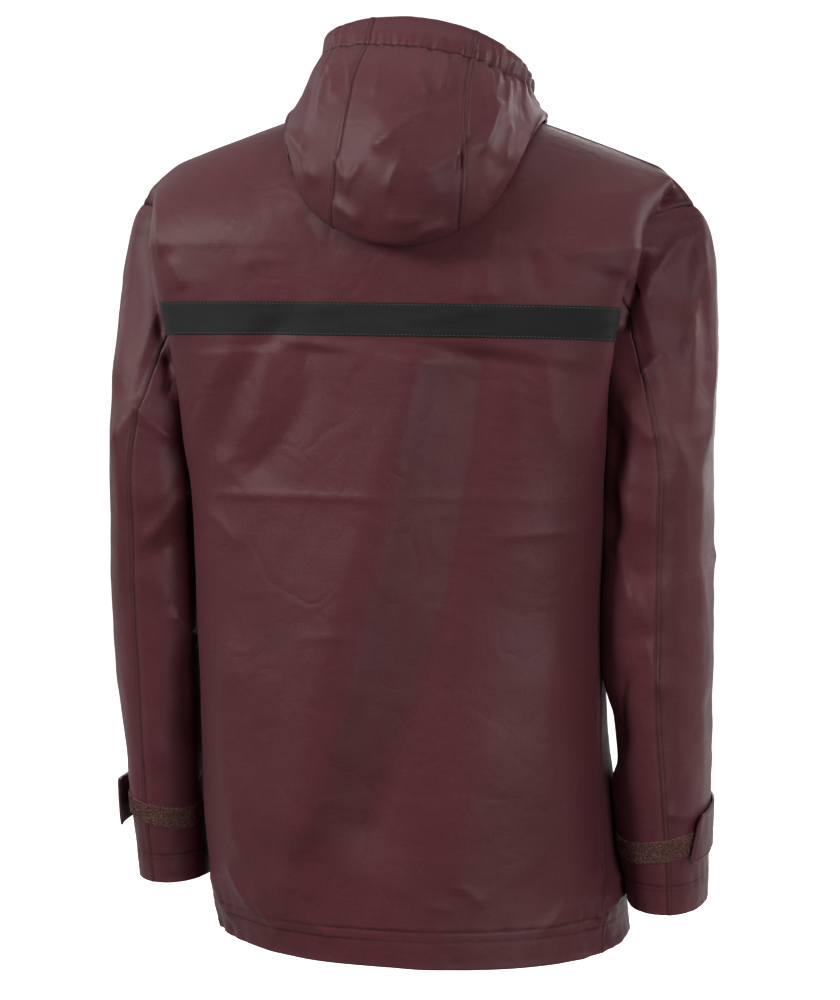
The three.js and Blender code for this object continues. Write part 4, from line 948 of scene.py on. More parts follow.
def add(tree, kind, links=(), **values):
    """Adds a node, sets the values named, and links (from socket, input) pairs into it."""
    node = tree.nodes.new(kind)
    for key, value in values.items():
        setattr(node, key, value)
    for source, target in links:
        if isinstance(source, bpy.types.NodeSocket):
            tree.links.new(source, node.inputs[target])
        else:
            node.inputs[target].default_value = source
    return node


def maths(tree, operation, *values):
    links = [(value, place) for place, value in enumerate(values)]
    return add(tree, "ShaderNodeMath", links, operation=operation).outputs[0]


def noise(tree, place, scale, detail, distortion=0.0):
    links = [(place, "Vector"), (scale, "Scale"), (detail, "Detail"), (distortion, "Distortion")]
    return add(tree, "ShaderNodeTexNoise", links).outputs["Fac"]


def weave_group():
    """A plain weave read from the piece's own UV map, which is in metres."""
    inputs = {"Threads per metre": 2200.0, "Unevenness": 0.3}
    tree, given, out = node_group("plain weave", inputs, ["Height", "Thread"])
    place = add(tree, "ShaderNodeUVMap", uv_map="cloth").outputs["UV"]
    bend = noise(tree, place, 300.0, 2.0)
    split = add(tree, "ShaderNodeSeparateXYZ", [(place, 0)])
    pace = maths(tree, "MULTIPLY", given.outputs["Threads per metre"], 6.2832)
    shift = maths(tree, "MULTIPLY", bend, given.outputs["Unevenness"])
    waves = []
    for axis in ("X", "Y"):
        turn = maths(tree, "ADD", maths(tree, "MULTIPLY", split.outputs[axis], pace), shift)
        waves.append(maths(tree, "SINE", turn))
    product = maths(tree, "MULTIPLY", waves[0], waves[1])
    tree.links.new(product, out.inputs["Height"])
    tree.links.new(maths(tree, "MULTIPLY_ADD", product, 0.5, 0.5), out.inputs["Thread"])


def mottle_group():
    """Broad and fine unevenness of a finish, in the object's own space."""
    inputs = {"Size": 9.0, "Grain": 900.0, "Stretch": 1.0}
    tree, given, out = node_group("mottle", inputs, ["Broad", "Fine", "Streaks"])
    place = add(tree, "ShaderNodeTexCoord").outputs["Object"]
    stretch = add(tree, "ShaderNodeCombineXYZ", [(1.0, 0), (1.0, 1), (given.outputs["Stretch"], 2)])
    long = add(tree, "ShaderNodeVectorMath", [(place, 0), (stretch.outputs[0], 1)], operation="MULTIPLY")
    tree.links.new(noise(tree, place, given.outputs["Size"], 4.0), out.inputs["Broad"])
    tree.links.new(noise(tree, place, given.outputs["Grain"], 2.0), out.inputs["Fine"])
    tree.links.new(noise(tree, long.outputs[0], 40.0, 6.0), out.inputs["Streaks"])


def crumple_group():
    """Low crackled wrinkles, as coated cloth keeps from being folded."""
    tree, given, out = node_group("crumple", {"Size": 26.0}, ["Height"])
    place = add(tree, "ShaderNodeTexCoord").outputs["Object"]
    hills = noise(tree, place, given.outputs["Size"], 1.0, 0.8)
    ridge = maths(tree, "ABSOLUTE", maths(tree, "SUBTRACT", hills, 0.5))
    tree.links.new(ridge, out.inputs["Height"])


def grouped(tree, group, **values):
    node = add(tree, "ShaderNodeGroup", node_tree=bpy.data.node_groups[group])
    for label, value in values.items():
        node.inputs[label.replace("_", " ")].default_value = value
    return node


def ranged(tree, source, low, high, start=0.0, end=1.0):
    """A source between start and end, read as a value between low and high."""
    links = [(source, "Value"), (start, "From Min"), (end, "From Max"), (low, "To Min"), (high, "To Max")]
    return add(tree, "ShaderNodeMapRange", links).outputs["Result"]


def blended(tree, amount, first, second):
    """One colour into another by an amount."""
    node = add(tree, "ShaderNodeMix", data_type="RGBA")
    for source, socket in ((amount, node.inputs[0]), (first, node.inputs[6]), (second, node.inputs[7])):
        if isinstance(source, bpy.types.NodeSocket):
            tree.links.new(source, socket)
        elif socket.type == "RGBA":
            socket.default_value = (*source, 1)
        else:
            socket.default_value = source
    return node.outputs[2]


def bumped(tree, layers):
    """A chain of bumps from (height, strength, distance in metres)."""
    normal = None
    for height, strength, distance in layers:
        links = [(strength, "Strength"), (distance, "Distance"), (height, "Height")]
        node = add(tree, "ShaderNodeBump", links)
        if normal:
            tree.links.new(normal, node.inputs["Normal"])
        normal = node.outputs["Normal"]
    return normal


def tinted(colour, by):
    return tuple(min(1, c * by) for c in colour)


def new_material(name, roughness=0.5, metallic=0.0, specular=0.5):
    """A new material with its node tree and its shader."""
    material = bpy.data.materials.new(name)
    material.use_nodes = True
    tree = material.node_tree
    shader = tree.nodes["Principled BSDF"]
    shader.inputs["Roughness"].default_value = roughness
    shader.inputs["Metallic"].default_value = metallic
    shader.inputs["Specular IOR Level"].default_value = specular
    return material, tree, shader


def shell_material():
    """Coated cloth with a waxy sheen, paler where it is worn along seams and edges."""
    colour = tuple(colours().shell)
    _, tree, shader = new_material("coated cloth", specular=0.22)
    mottle = grouped(tree, "mottle", Size=7.0, Grain=900.0, Stretch=11.0).outputs
    speckle = grouped(tree, "mottle", Size=60.0, Grain=330.0, Stretch=1.0).outputs["Fine"]
    weave = grouped(tree, "plain weave", Threads_per_metre=1500.0, Unevenness=2.0).outputs["Height"]
    crumple = grouped(tree, "crumple", Size=22.0).outputs["Height"]
    worn = add(tree, "ShaderNodeAttribute", attribute_name="seam").outputs["Fac"]
    sewn = add(tree, "ShaderNodeAttribute", attribute_name="stitched").outputs["Fac"]
    broad = ranged(tree, mottle["Broad"], 0, 1, 0.3, 0.7)
    base = blended(tree, broad, tinted(colour, 0.88), tinted(colour, 1.12))
    for source, most, start, end, by in (
        (mottle["Fine"], 0.4, 0.35, 0.75, 0.5),
        (speckle, 0.3, 0.4, 0.7, 0.6),
        (mottle["Streaks"], 0.12, 0.45, 0.7, 1.45),
    ):
        base = blended(tree, ranged(tree, source, 0, most, start, end), base, tinted(colour, by))
    base = blended(tree, maths(tree, "MULTIPLY", sewn, 0.75), base, tinted(colour, 0.3))
    rub = maths(tree, "MULTIPLY", worn, ranged(tree, mottle["Fine"], 0.0, 0.5, 0.35, 0.7))
    base = blended(tree, rub, base, (colour[0] * 1.3, colour[1] * 1.9, colour[2] * 1.8))
    tree.links.new(base, shader.inputs["Base Color"])
    rough = ranged(tree, mottle["Streaks"], 0.43, 0.47, 0.35, 0.65)
    rough = maths(tree, "ADD", rough, ranged(tree, mottle["Fine"], -0.04, 0.05, 0.3, 0.7))
    tree.links.new(rough, shader.inputs["Roughness"])
    layers = [
        (crumple, 0.42, 0.004),
        (mottle["Streaks"], 0.05, 0.0006),
        (speckle, 0.14, 0.0006),
        (mottle["Fine"], 0.3, 0.0004),
        (weave, 0.3, 0.00008),
    ]
    tree.links.new(bumped(tree, layers), shader.inputs["Normal"])
    shader.inputs["Sheen Weight"].default_value = 0.05
    shader.inputs["Sheen Roughness"].default_value = 0.4
    shader.inputs["Sheen Tint"].default_value = (0.9, 0.8, 0.82, 1)


def woven_material(name, colour, threads, roughness, fleck=0.0, grain=1500.0):
    """A woven strip or thread, with flecks of a paler yarn where it has any."""
    _, tree, shader = new_material(name, specular=0.2)
    mottle = grouped(tree, "mottle", Size=30.0, Grain=grain, Stretch=1.0).outputs
    weave = grouped(tree, "plain weave", Threads_per_metre=threads, Unevenness=1.0).outputs
    base = blended(tree, ranged(tree, weave["Thread"], 0, 0.5), colour, tinted(colour, 0.6))
    base = blended(tree, ranged(tree, mottle["Broad"], 0, 0.4, 0.3, 0.7), base, tinted(colour, 1.35))
    if fleck:
        pale = (colour[0] * 2.3, colour[1] * 2.9, colour[2] * 2.6)
        base = blended(tree, ranged(tree, mottle["Fine"], 0, fleck, 0.5, 0.62), base, pale)
    tree.links.new(base, shader.inputs["Base Color"])
    rough = ranged(tree, mottle["Fine"], roughness - 0.08, roughness + 0.08, 0.3, 0.7)
    tree.links.new(rough, shader.inputs["Roughness"])
    layers = [(weave["Height"], 0.5, 0.00012), (mottle["Fine"], 0.3, 0.0003)]
    tree.links.new(bumped(tree, layers), shader.inputs["Normal"])


def metal_material():
    """Dark nickel, dulled and rubbed brighter in patches."""
    colour = tuple(colours().metal)
    _, tree, shader = new_material("dark nickel", metallic=1.0)
    mottle = grouped(tree, "mottle", Size=160.0, Grain=2500.0, Stretch=1.0).outputs
    broad = ranged(tree, mottle["Broad"], 0, 1, 0.3, 0.7)
    base = blended(tree, broad, tinted(colour, 0.75), tinted(colour, 1.2))
    tree.links.new(base, shader.inputs["Base Color"])
    tree.links.new(ranged(tree, mottle["Broad"], 0.42, 0.24, 0.3, 0.7), shader.inputs["Roughness"])
    tree.links.new(bumped(tree, [(mottle["Fine"], 0.2, 0.0001)]), shader.inputs["Normal"])


def finishes():
    """The finishes by name, made once."""
    if "coated cloth" not in bpy.data.materials:
        weave_group()
        mottle_group()
        crumple_group()
        shell_material()
        for name, colour, *weave in WOVEN:
            woven_material(name, tuple(getattr(colours(), colour)), *weave)
        metal_material()
    return bpy.data.materials


def colours():
    return bpy.context.scene.raincoat_colours


def sizes():
    return bpy.context.scene.raincoat_sizes


def mark_seams(piece, cloth, stitched, extra=0, at_top=False, reach=7.0):
    """Stores on each point how near it is to an edge and to a row of stitches, from 0 to 1."""
    near = np.minimum(np.minimum(cloth.from_side(), cloth.up(0)), -cloth.up(-1))
    worn = 1 - smooth_step(near, 0.5, reach)
    margin = np.zeros((extra, near.shape[1]))
    for name, value in (("seam", worn), ("stitched", np.clip(stitched, 0, 1))):
        value = np.concatenate([value, margin] if at_top else [margin, value])
        stored = piece.data.attributes.new(name, "FLOAT", "POINT").data
        stored.foreach_set("value", value.astype(np.float32).ravel())


def shell_piece(name, cloth, hem, stitched, at_top=False):
    """One shell panel that stands for its solid, with its hem turned in."""
    whole = cloth.turned_in(hem, 1.4, at_top)
    piece = sheet_object(f"{name}_cloth", whole, sizes().cloth, finishes()["coated cloth"])
    mark_seams(piece, cloth, stitched, len(whole.rows) - len(cloth.rows), at_top)
    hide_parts(name)


def strip_piece(name, cloth, thickness, material, bevel=0.3 * MM):
    """A strip sewn on the cloth, with softened edges."""
    piece = sheet_object(name, cloth, thickness, finishes()[material])
    soft = piece.modifiers.new("edges", "BEVEL")
    soft.width = bevel
    soft.segments = 2
    soft.profile = 0.5
    soft.limit_method = "ANGLE"
    soft.angle_limit = math.radians(50)
    return piece


def read_row(table, keys, at):
    """The rows of a table of points at the given places among its keys."""
    return np.stack([np.interp(at, keys, table[:, k]) for k in range(3)], -1)


def placed(middle, sides):
    """The matrix that puts a unit shape at a place in millimetres, with the sides given."""
    turn = Matrix(sides).transposed().to_4x4()
    return Matrix.Scale(MM, 4) @ Matrix.Translation(middle) @ turn


def stitch_row(points, normals, pitch=3.6, length=2.7):
    """A row of stitches along a line on the cloth, as a mesh."""
    steps = np.linalg.norm(np.diff(points, axis=0), axis=1)
    along = np.concatenate([[0], np.cumsum(steps)])
    count = max(2, int(along[-1] / pitch))
    middles = (np.arange(count) + 0.5) * along[-1] / count
    bm = bmesh.new()
    for middle in middles:
        a, b = (Vector(read_row(points, along, middle + step)) for step in (-length / 2, length / 2))
        out = Vector(read_row(normals, along, middle))
        ahead = (b - a).normalized()
        side = out.cross(ahead).normalized()
        out = ahead.cross(side)
        half = (ahead * (length / 2), side * (STITCH_WIDTH / 2), out * (STITCH_HEIGHT / 2))
        place = placed((a + b) / 2, half)
        bmesh.ops.create_icosphere(bm, subdivisions=1, radius=1.0, matrix=place)
    return mesh_of(bm, "row", False)


def joined(name, meshes, material):
    """Meshes put together as one piece."""
    bm = bmesh.new()
    for mesh in meshes:
        bm.from_mesh(mesh)
        bpy.data.meshes.remove(mesh)
    whole = mesh_of(bm, name)
    whole.materials.append(finishes()[material])
    piece = linked(name, whole)
    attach(piece, BODY)
    return piece


def inward(cloth, distance, first=True):
    """The fractional columns that lie a distance in from the first or last column, row by row."""
    steps = np.linalg.norm(np.diff(cloth.points, axis=1), axis=-1)
    if not first:
        steps = steps[:, ::-1]
    along = np.concatenate([np.zeros((len(steps), 1)), np.cumsum(steps, 1)], 1)
    columns = cloth.columns if first else cloth.columns[::-1]
    return np.array([np.interp(distance, row, columns) for row in along])


def side_rows(cloth, distances, first=True):
    """Stitch rows that follow a side edge of a cloth at the given distances from it."""
    return [stitch_row(*cloth.at(inward(cloth, d, first), cloth.rows, STITCH_LIFT)) for d in distances]


def cross_rows(cloth, heights, columns=None, from_top=False):
    """Stitch rows across a cloth at the given distances up from its first row or down from its last."""
    columns = cloth.columns if columns is None else columns
    up = -cloth.up(-1)[::-1] if from_top else cloth.up(0)
    index = np.interp(columns, cloth.columns, np.arange(len(cloth.columns))).round().astype(int)
    labels = cloth.rows[::-1] if from_top else cloth.rows
    made = []
    for height in heights:
        rows = np.array([np.interp(height, up[:, j], labels) for j in index])
        made.append(stitch_row(*cloth.at(columns, rows, STITCH_LIFT)))
    return made


def edge_rows(cloth, distance):
    """A stitch row along the first row of a cloth and one along its last."""
    return cross_rows(cloth, (distance,)) + cross_rows(cloth, (distance,), from_top=True)


def length_value(name, description, size):
    """A length property with its default given in millimetres."""
    return FloatProperty(name=name, description=description, default=size * MM, unit="LENGTH")


def colour_value(name, description, colour):
    """A colour property."""
    return FloatVectorProperty(
        name=name, description=description, default=colour, subtype="COLOR", min=0, max=1
    )


class RaincoatSizes(bpy.types.PropertyGroup):
    """Sizes of the cloth and of what is sewn on it."""

    cloth: length_value("Cloth", "Thickness of the shell cloth", 1.2)
    band: length_value("Band", "Thickness of the contrast band", 0.7)
    loop: length_value("Loop strip", "Thickness of the loop strip", 0.9)
    tab: length_value("Cuff tab", "Thickness of a cuff tab", 2.2)


class RaincoatColours(bpy.types.PropertyGroup):
    """Colours of the cloths, threads and metal."""

    shell: colour_value("Shell", "Coated shell cloth", (0.098, 0.0245, 0.031))
    band: colour_value("Band", "Contrast band", (0.0105, 0.0115, 0.011))
    loop: colour_value("Loop strip", "Loop pile at the cuffs", (0.085, 0.035, 0.031))
    thread: colour_value("Thread", "Thread in the shell's seams", (0.045, 0.013, 0.016))
    band_thread: colour_value("Band thread", "Thread along the band", (0.1, 0.115, 0.095))
    zip_tape: colour_value("Zip", "Zip tape and teeth", (0.035, 0.011, 0.014))
    metal: colour_value("Metal", "Zip slider and pull", (0.28, 0.26, 0.25))


class RAINCOAT_OT_body(bpy.types.Operator):
    """Make the back and the two fronts"""

    bl_idname = "raincoat.body"
    bl_label = "Body"

    def execute(self, context):
        body_cloths()
        for name in ("back", "front_left", "front_right"):
            cloth = CLOTHS[name]
            stitched = lines_at(cloth.from_side(), SEAM_ROWS) + lines_at(cloth.up(0), HEM_ROWS)
            shell_piece(name, cloth, HEM_WIDTH, stitched)
        return {"FINISHED"}


class RAINCOAT_OT_sleeves(bpy.types.Operator):
    """Make both sleeves"""

    bl_idname = "raincoat.sleeves"
    bl_label = "Sleeves"

    def execute(self, context):
        sleeve_cloths()
        for word in ("left", "right"):
            whole = CLOTHS[f"sleeve_{word}"]
            parts = ("upper", BACK_SEAM, FRONT_SEAM), ("under", FRONT_SEAM - 1, BACK_SEAM)
            for part, first, last in parts:
                name = f"sleeve_{part}_{word}"
                cloth = whole.between(first, last)
                CLOTHS[name] = cloth
                stitched = lines_at(cloth.up(0), CUFF_ROWS)
                if part == "upper":
                    stitched += lines_at(cloth.from_side(), SEAM_ROWS)
                shell_piece(name, cloth, CUFF_WIDTH, stitched)
        return {"FINISHED"}


class RAINCOAT_OT_hood(bpy.types.Operator):
    """Make the three hood panels"""

    bl_idname = "raincoat.hood"
    bl_label = "Hood"

    def execute(self, context):
        hood_cloth()
        edges = (-180, -HOOD_SEAM_ANGLE, HOOD_SEAM_ANGLE, 180)
        for name, first, last in zip(("hood_right", "hood_centre", "hood_left"), edges, edges[1:]):
            cloth = CLOTHS["hood"].between(first, last)
            CLOTHS[name] = cloth
            stitched = lines_at(cloth.up(int(np.argmin(np.abs(cloth.rows - CASING_ROW)))), (0,))
            if name != "hood_centre":
                stitched += lines_at(cloth.from_side(), SEAM_ROWS)
            shell_piece(name, cloth, 24, stitched, at_top=True)
        return {"FINISHED"}


class RAINCOAT_OT_band(bpy.types.Operator):
    """Make the contrast band across the back"""

    bl_idname = "raincoat.band"
    bl_label = "Band"

    def execute(self, context):
        back = CLOTHS["back"]
        columns, rows = spaced(-0.982, 0.982, 0.011), spaced(BAND_BOTTOM_Z, BAND_TOP_Z, 1.5)
        c, r = np.meshgrid(columns, rows)
        lift = sizes().band / MM + 0.25
        points = back.at(c, r, lift)[0]
        cloth = Cloth(columns, rows, points, -1)
        down = np.minimum(cloth.up(0), -cloth.up(-1))
        wave = np.clip(0.35 * ripple(points[..., 0], points[..., 2], 22, 81), -0.1, 1)
        cloth = cloth.raised(wave * smooth_step(down, 1, 8) - 0.2 * hump(down - 1.8, 0.6))
        piece = strip_piece("band_cloth", cloth, sizes().band, "band cloth")
        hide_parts("back_band")
        threads = joined("band_stitches", edge_rows(cloth, 1.6), "band thread")
        declare_strip(cloth)
        return {"FINISHED"}


class RAINCOAT_OT_cuffs(bpy.types.Operator):
    """Make the loop strips and the cuff tabs"""

    bl_idname = "raincoat.cuffs"
    bl_label = "Cuff strips and tabs"

    def execute(self, context):
        for side, word in ((1, "left"), (-1, "right")):
            sleeve = CLOTHS[f"sleeve_{word}"]
            self.loop_strip(sleeve, side, word)
            self.tab(sleeve, side, word)
        return {"FINISHED"}

    def loop_strip(self, sleeve, side, word):
        columns = spaced(*LOOP_SPAN, 0.009)
        rows = spaced(*(sleeve_row(sleeve, z) for z in LOOP_ROWS[side]), 0.75)
        c, r = np.meshgrid(columns, rows)
        r = r + 4.5 * smooth_step(c, 0.12, 0.4) - 1.5 * smooth_step(c, 0.04, 0.12)
        points = sleeve.at(np.where(c > FRONT_SEAM, c - 1, c), r, sizes().loop / MM + 0.2)[0]
        cloth = Cloth(columns, rows, points, -side)
        piece = strip_piece(f"loop_strip_{word}", cloth, sizes().loop, "loop pile")
        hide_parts(f"loop_band_{word}")
        pile = joined(f"loop_pile_{word}", self.pile(cloth, 90 + side), "loop pile")
        edges = joined(f"loop_stitches_{word}", edge_rows(cloth, 1.2), "thread")
        declare_strip(cloth)

    def pile(self, cloth, seed):
        """Uneven rows of small beads over a strip, as meshes."""
        rng = np.random.default_rng(seed)
        first, last = cloth.columns[0] + 0.004, cloth.columns[-1] - 0.004
        tufts = []
        for row in spaced(cloth.rows[0] + 0.7, cloth.rows[-1] - 0.7, 0.62):
            bm = bmesh.new()
            place = first
            while place < last:
                column = place + rng.uniform(-0.001, 0.001)
                height = row + rng.uniform(-0.3, 0.3)
                p, n = cloth.at(column, height, rng.uniform(-0.2, 0.5))
                size = rng.uniform(0.5, 1.25, 3)
                turn = Matrix.Rotation(rng.uniform(0, 3), 4, Vector(n))
                spot = Matrix.Translation(Vector(p * MM)) @ turn @ Matrix.Diagonal((*(size * MM), 1))
                bmesh.ops.create_icosphere(bm, subdivisions=1, radius=1.0, matrix=spot)
                place += 0.0072 * rng.uniform(0.6, 1.5)
            tufts.append(mesh_of(bm, "tufts", False))
        return tufts

    def tab(self, sleeve, side, word):
        lengths, across = spaced(0, 1, 0.02, 0.06, 0.012), spaced(-1, 1, 0.1, 0.16, 0.04)
        u, v = np.meshgrid(lengths, across)
        tip = 1 - 0.16 * (1 + v) / 2 - 0.035 * smooth_step(np.abs(v), 0.72, 1.0) ** 2
        u_cut = u * tip
        columns = mix(TAB_START / 360, TAB_END[side] / 360, u_cut)
        heights = TAB_Z - 3 * u_cut + v * TAB_HEIGHT / 2
        rows = np.interp(heights, sleeve.heights[:200], np.arange(200))
        points, normals = sleeve.at(np.where(columns > FRONT_SEAM, columns - 1, columns), rows, 0)
        away = TAB_STANDOFF[side] * smooth_step(u, 0.25, 1.0) + 1.1 * smooth_step(u, 0.75, 1.0)
        points = points + normals * (TAB_GAP + sizes().tab / MM + away)[..., None]
        cloth = Cloth(lengths, across, points, side)
        rim = np.minimum(cloth.from_side(), np.minimum(cloth.up(0), -cloth.up(-1)))
        puff = 0.5 * smooth_step(rim, 0, 1.5) - 0.6 * hump(rim - 3, 0.8)
        cloth = cloth.raised(puff + 0.25 * ripple(points[..., 1], points[..., 2], 20, 95 + side))
        piece = strip_piece(f"tab_{word}", cloth, sizes().tab, "coated cloth", 0.6 * MM)
        mark_seams(piece, cloth, lines_at(rim, (3.0,)), reach=2.0)
        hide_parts(f"cuff_tab_{word}")
        rows = edge_rows(cloth, 3.0)
        rows += side_rows(cloth, (3.0,), first=False) + side_rows(cloth, (3.0, 22.0), first=True)
        threads = joined(f"tab_stitches_{word}", rows, "thread")
        float(cloth.along(len(across) // 2)[-1]) * MM
        float(cloth.up(0)[-1, 0]) * MM


class RAINCOAT_OT_zip(bpy.types.Operator):
    """Make the zip's tapes and teeth, and finish its slider and pull"""

    bl_idname = "raincoat.zip"
    bl_label = "Front zip"

    def execute(self, context):
        edges = {}
        for side, front, hood in ((1, "front_left", "hood_left"), (-1, "front_right", "hood_right")):
            body, top = CLOTHS[front], CLOTHS[hood]
            column = -1 if side > 0 else 0
            keep = top.rows >= 0.5
            edges[side] = [
                np.concatenate([body.points[:, 0], top.points[keep, column]]),
                np.concatenate([body.normals[:, 0], top.normals[keep, column]]),
            ]
        middle = (edges[1][0] + edges[-1][0]) / 2
        steps = np.linalg.norm(np.diff(middle, axis=0), axis=1)
        along = np.concatenate([[0], np.cumsum(steps)])
        counted = np.arange(len(middle))
        rows = np.interp(np.arange(0, along[-1], TOOTH_PITCH), along, counted)
        line = read_row(middle, counted, rows)
        ahead = np.gradient(line, axis=0)
        ahead /= np.linalg.norm(ahead, axis=1, keepdims=True)
        out = np.cross(ahead, (1.0, 0, 0))
        out *= np.sign(-out[:, 1:2] + 0.3 * out[:, 2:])
        out /= np.linalg.norm(out, axis=1, keepdims=True)
        for side, word in ((1, "left"), (-1, "right")):
            edge, normals = (read_row(table, counted, rows) for table in edges[side])
            self.tape(edge, normals, side, word, line, out)
        self.teeth(line, ahead, out)
        for name in ("zip_slider", "zip_pull"):
            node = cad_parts[name]
            node.data.materials.clear()
            node.data.materials.append(finishes()["dark nickel"])
        return {"FINISHED"}

    def teeth(self, line, ahead, out):
        meshes = []
        for start in range(0, len(line), 60):
            bm = bmesh.new()
            for k in range(start, min(start + 60, len(line))):
                for side in (1, -1):
                    across = Vector((side, 0, 0))
                    middle = Vector(line[k] + ahead[k] * (0.6 * side) - out[k] * 0.2)
                    ways = zip((across, Vector(ahead[k]), Vector(out[k])), TOOTH_SIZE)
                    place = placed(middle + across * TOOTH_OFFSET, [way * size for way, size in ways])
                    bmesh.ops.create_cube(bm, size=1.0, matrix=place)
            bmesh.ops.bevel(
                bm, geom=bm.edges[:], offset=0.22 * MM, segments=1, profile=0.5, affect="EDGES", material=-1
            )
            meshes.append(mesh_of(bm, "teeth", False))
        piece = joined("zip_teeth_row", meshes, "zip teeth")
        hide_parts("zip_teeth")

    def tape(self, edge, normals, side, word, line, out):
        normals /= np.linalg.norm(normals, axis=1, keepdims=True)
        outward = np.tile((float(side), 0.0, 0.0), (len(line), 1))
        outward -= normals * (outward * normals).sum(1, keepdims=True)
        grid = np.empty((len(line), len(TAPE_PLACES), 3))
        for j, width in enumerate(TAPE_PLACES):
            inner = line + outward * width - out * 1.4
            under = edge + outward * (width - 5) - normals * 3.0
            grid[:, j] = mix(inner, under, smooth_step(width, 2.0, 5.5))
        grid = grid if side > 0 else grid[:, ::-1]
        cloth = Cloth(np.arange(len(TAPE_PLACES)), np.arange(len(line)), grid, 1)
        piece = sheet_object(f"zip_tape_{word}_cloth", cloth, 0.6 * MM, finishes()["zip tape"])
        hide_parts(f"zip_tape_{word}")
        declare_strip(cloth)


class RAINCOAT_OT_stitching(bpy.types.Operator):
    """Sew the rows of stitches along the seams and hems"""

    bl_idname = "raincoat.stitching"
    bl_label = "Stitching"

    def execute(self, context):
        self.body()
        self.sleeves()
        self.hood()
        return {"FINISHED"}

    def body(self):
        back = CLOTHS["back"]
        rows = cross_rows(back, HEM_ROWS, back.columns[2:-2:3])
        rows += side_rows(back, SEAM_ROWS, True) + side_rows(back, SEAM_ROWS, False)
        for side in (1, -1):
            columns = np.linspace(BACK_NECK_SHARE + 0.03, 0.985, 60) * side
            rows += cross_rows(back, SEAM_ROWS, columns, from_top=True)
        joined("back_stitches", rows, "thread")
        for word in ("left", "right"):
            front = CLOTHS[f"front_{word}"]
            rows = cross_rows(front, HEM_ROWS, front.columns[2:-2:3])
            rows += side_rows(front, (2.0, 7.5), True)
            joined(f"front_stitches_{word}", rows, "thread")

    def sleeves(self):
        for word in ("left", "right"):
            upper, under = CLOTHS[f"sleeve_upper_{word}"], CLOTHS[f"sleeve_under_{word}"]
            rows = side_rows(upper, SEAM_ROWS, True) + side_rows(upper, SEAM_ROWS, False)
            for part in (upper, under):
                rows += cross_rows(part, CUFF_ROWS)
            joined(f"sleeve_stitches_{word}", rows, "thread")

    def hood(self):
        rows = []
        whole = CLOTHS["hood"]
        for name, first in (("hood_right", False), ("hood_left", True)):
            panel = CLOTHS[name]
            rows += side_rows(panel, SEAM_ROWS, first)
        rows.append(stitch_row(*whole.at(whole.columns, CASING_ROW, STITCH_LIFT), *CASING_STITCH))
        rows += cross_rows(whole, (2.5,), from_top=True)
        joined("hood_stitches", rows, "thread")


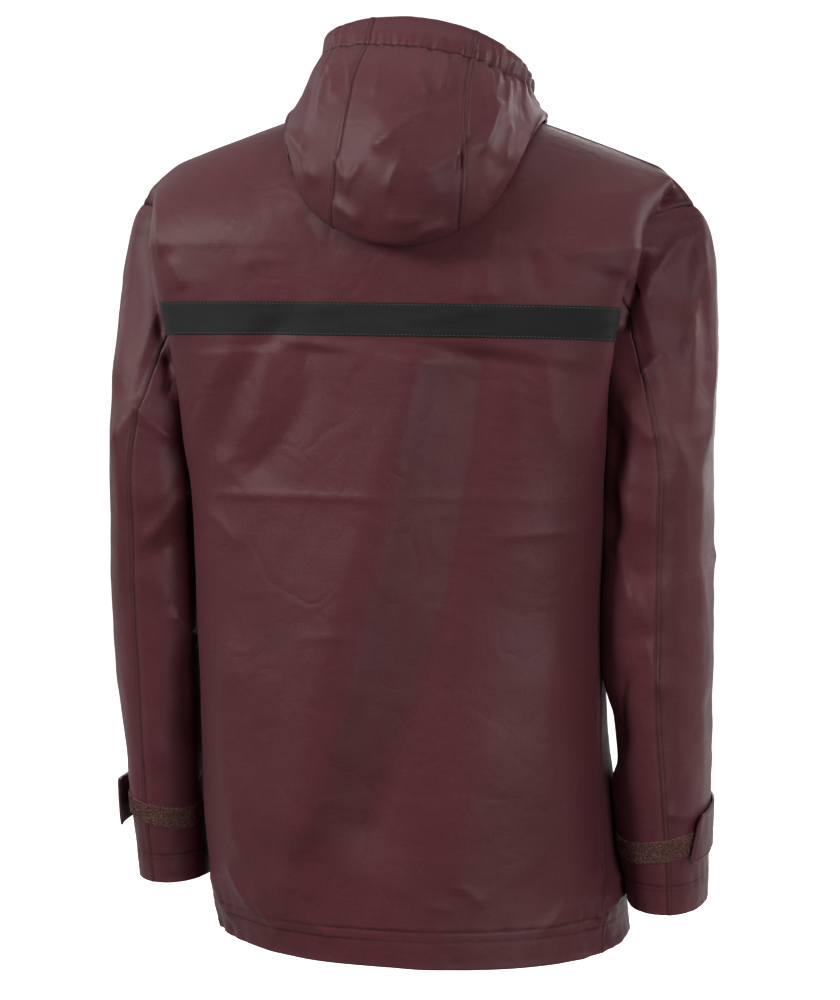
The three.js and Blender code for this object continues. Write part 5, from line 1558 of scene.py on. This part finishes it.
class RAINCOAT_OT_stage(bpy.types.Operator):
    """Make the floor, the lights and the camera"""

    bl_idname = "raincoat.stage"
    bl_label = "Floor, lights and camera"

    def execute(self, context):
        self.paper()
        for name, place, size, power in LIGHTS:
            light = linked(name, bpy.data.lights.new(name, "AREA"))
            light.data.energy, light.data.size = power, size
            light.location = place
            light.rotation_euler = (Vector(LIT_PLACE) - Vector(place)).to_track_quat("-Z", "Y").to_euler()
        world = bpy.data.worlds.new("studio")
        world.use_nodes = True
        world.node_tree.nodes["Background"].inputs["Color"].default_value = (1, 1, 1, 1)
        world.node_tree.nodes["Background"].inputs["Strength"].default_value = WORLD_STRENGTH
        context.scene.world = world
        context.scene.view_settings.view_transform = "Standard"
        camera = linked("camera", bpy.data.cameras.new("camera"))
        eye, ahead = axes()[:2]
        camera.data.sensor_fit = "VERTICAL"
        camera.data.sensor_height = 36
        camera.data.lens = FOCAL / PICTURE[1] * 36
        camera.location = eye * MM
        camera.rotation_euler = Vector(ahead).to_track_quat("-Z", "Y").to_euler()
        context.scene.camera = camera
        return {"FINISHED"}

    def paper(self):
        """A pale floor that sweeps up all round into a backdrop, with painted shade on the camera's side in
        reflections.
        """
        bm = bmesh.new()
        bmesh.ops.create_circle(bm, segments=96, radius=FLOOR_RADIUS, cap_ends=True)
        bmesh.ops.translate(bm, verts=bm.verts, vec=(0, 0, FLOOR_Z))
        rim = list(bm.edges)
        raised = bmesh.ops.extrude_edge_only(bm, edges=rim)
        moved = [v for v in raised["geom"] if isinstance(v, bmesh.types.BMVert)]
        bmesh.ops.translate(bm, verts=moved, vec=(0, 0, WALL_HEIGHT))
        bmesh.ops.recalc_face_normals(bm, faces=bm.faces)
        bmesh.ops.bevel(
            bm, geom=rim, offset=FLOOR_BEND, segments=14, profile=0.5, affect="EDGES", material=-1
        )
        mesh = mesh_of(bm, "floor")
        material, tree, shader = new_material("floor paper", 0.95, specular=0.1)
        place = add(tree, "ShaderNodeTexCoord").outputs["Object"]
        place = add(tree, "ShaderNodeSeparateXYZ", [(place, 0)])
        # Painted shade: to reflected and bounced rays the paper is pale behind the coat and dark on the
        # camera's side, as a dim room; the camera sees it plain pale.
        painted_room_shading = ranged(tree, place.outputs["Y"], 0.9, 0.06, -2.5, 1.0)
        seen_by_camera = add(tree, "ShaderNodeLightPath").outputs["Is Camera Ray"]
        paper = blended(tree, maths(tree, "MAXIMUM", seen_by_camera, painted_room_shading), (0, 0, 0), (0.93, 0.93, 0.93))
        tree.links.new(paper, shader.inputs["Base Color"])
        shader.inputs["Emission Color"].default_value = (1, 1, 1, 1)
        tree.links.new(maths(tree, "MULTIPLY", seen_by_camera, 0.7), shader.inputs["Emission Strength"])
        mesh.materials.append(material)
        linked("floor", mesh)


class RAINCOAT_PT_panel(bpy.types.Panel):
    """The raincoat's steps, in the order they run"""

    bl_label = "Raincoat"
    bl_idname = "RAINCOAT_PT_panel"
    bl_space_type = "VIEW_3D"
    bl_region_type = "UI"
    bl_category = "Raincoat"

    def draw(self, context):
        for operator in OPERATORS:
            self.layout.operator(operator.bl_idname)


OPERATORS = (
    RAINCOAT_OT_body,
    RAINCOAT_OT_sleeves,
    RAINCOAT_OT_hood,
    RAINCOAT_OT_band,
    RAINCOAT_OT_cuffs,
    RAINCOAT_OT_zip,
    RAINCOAT_OT_stitching,
    RAINCOAT_OT_stage,
)
CLASSES = (RaincoatSizes, RaincoatColours, *OPERATORS, RAINCOAT_PT_panel)


def register():
    for made in CLASSES:
        bpy.utils.register_class(made)
    bpy.types.Scene.raincoat_sizes = PointerProperty(type=RaincoatSizes)
    bpy.types.Scene.raincoat_colours = PointerProperty(type=RaincoatColours)


def unregister():
    del bpy.types.Scene.raincoat_colours
    del bpy.types.Scene.raincoat_sizes
    for made in reversed(CLASSES):
        bpy.utils.unregister_class(made)


def main():
    register()
    bpy.ops.raincoat.body()
    bpy.ops.raincoat.sleeves()
    bpy.ops.raincoat.hood()
    bpy.ops.raincoat.band()
    bpy.ops.raincoat.cuffs()
    bpy.ops.raincoat.zip()
    bpy.ops.raincoat.stitching()
    bpy.ops.raincoat.stage()


if __name__ == "__main__":
    main()
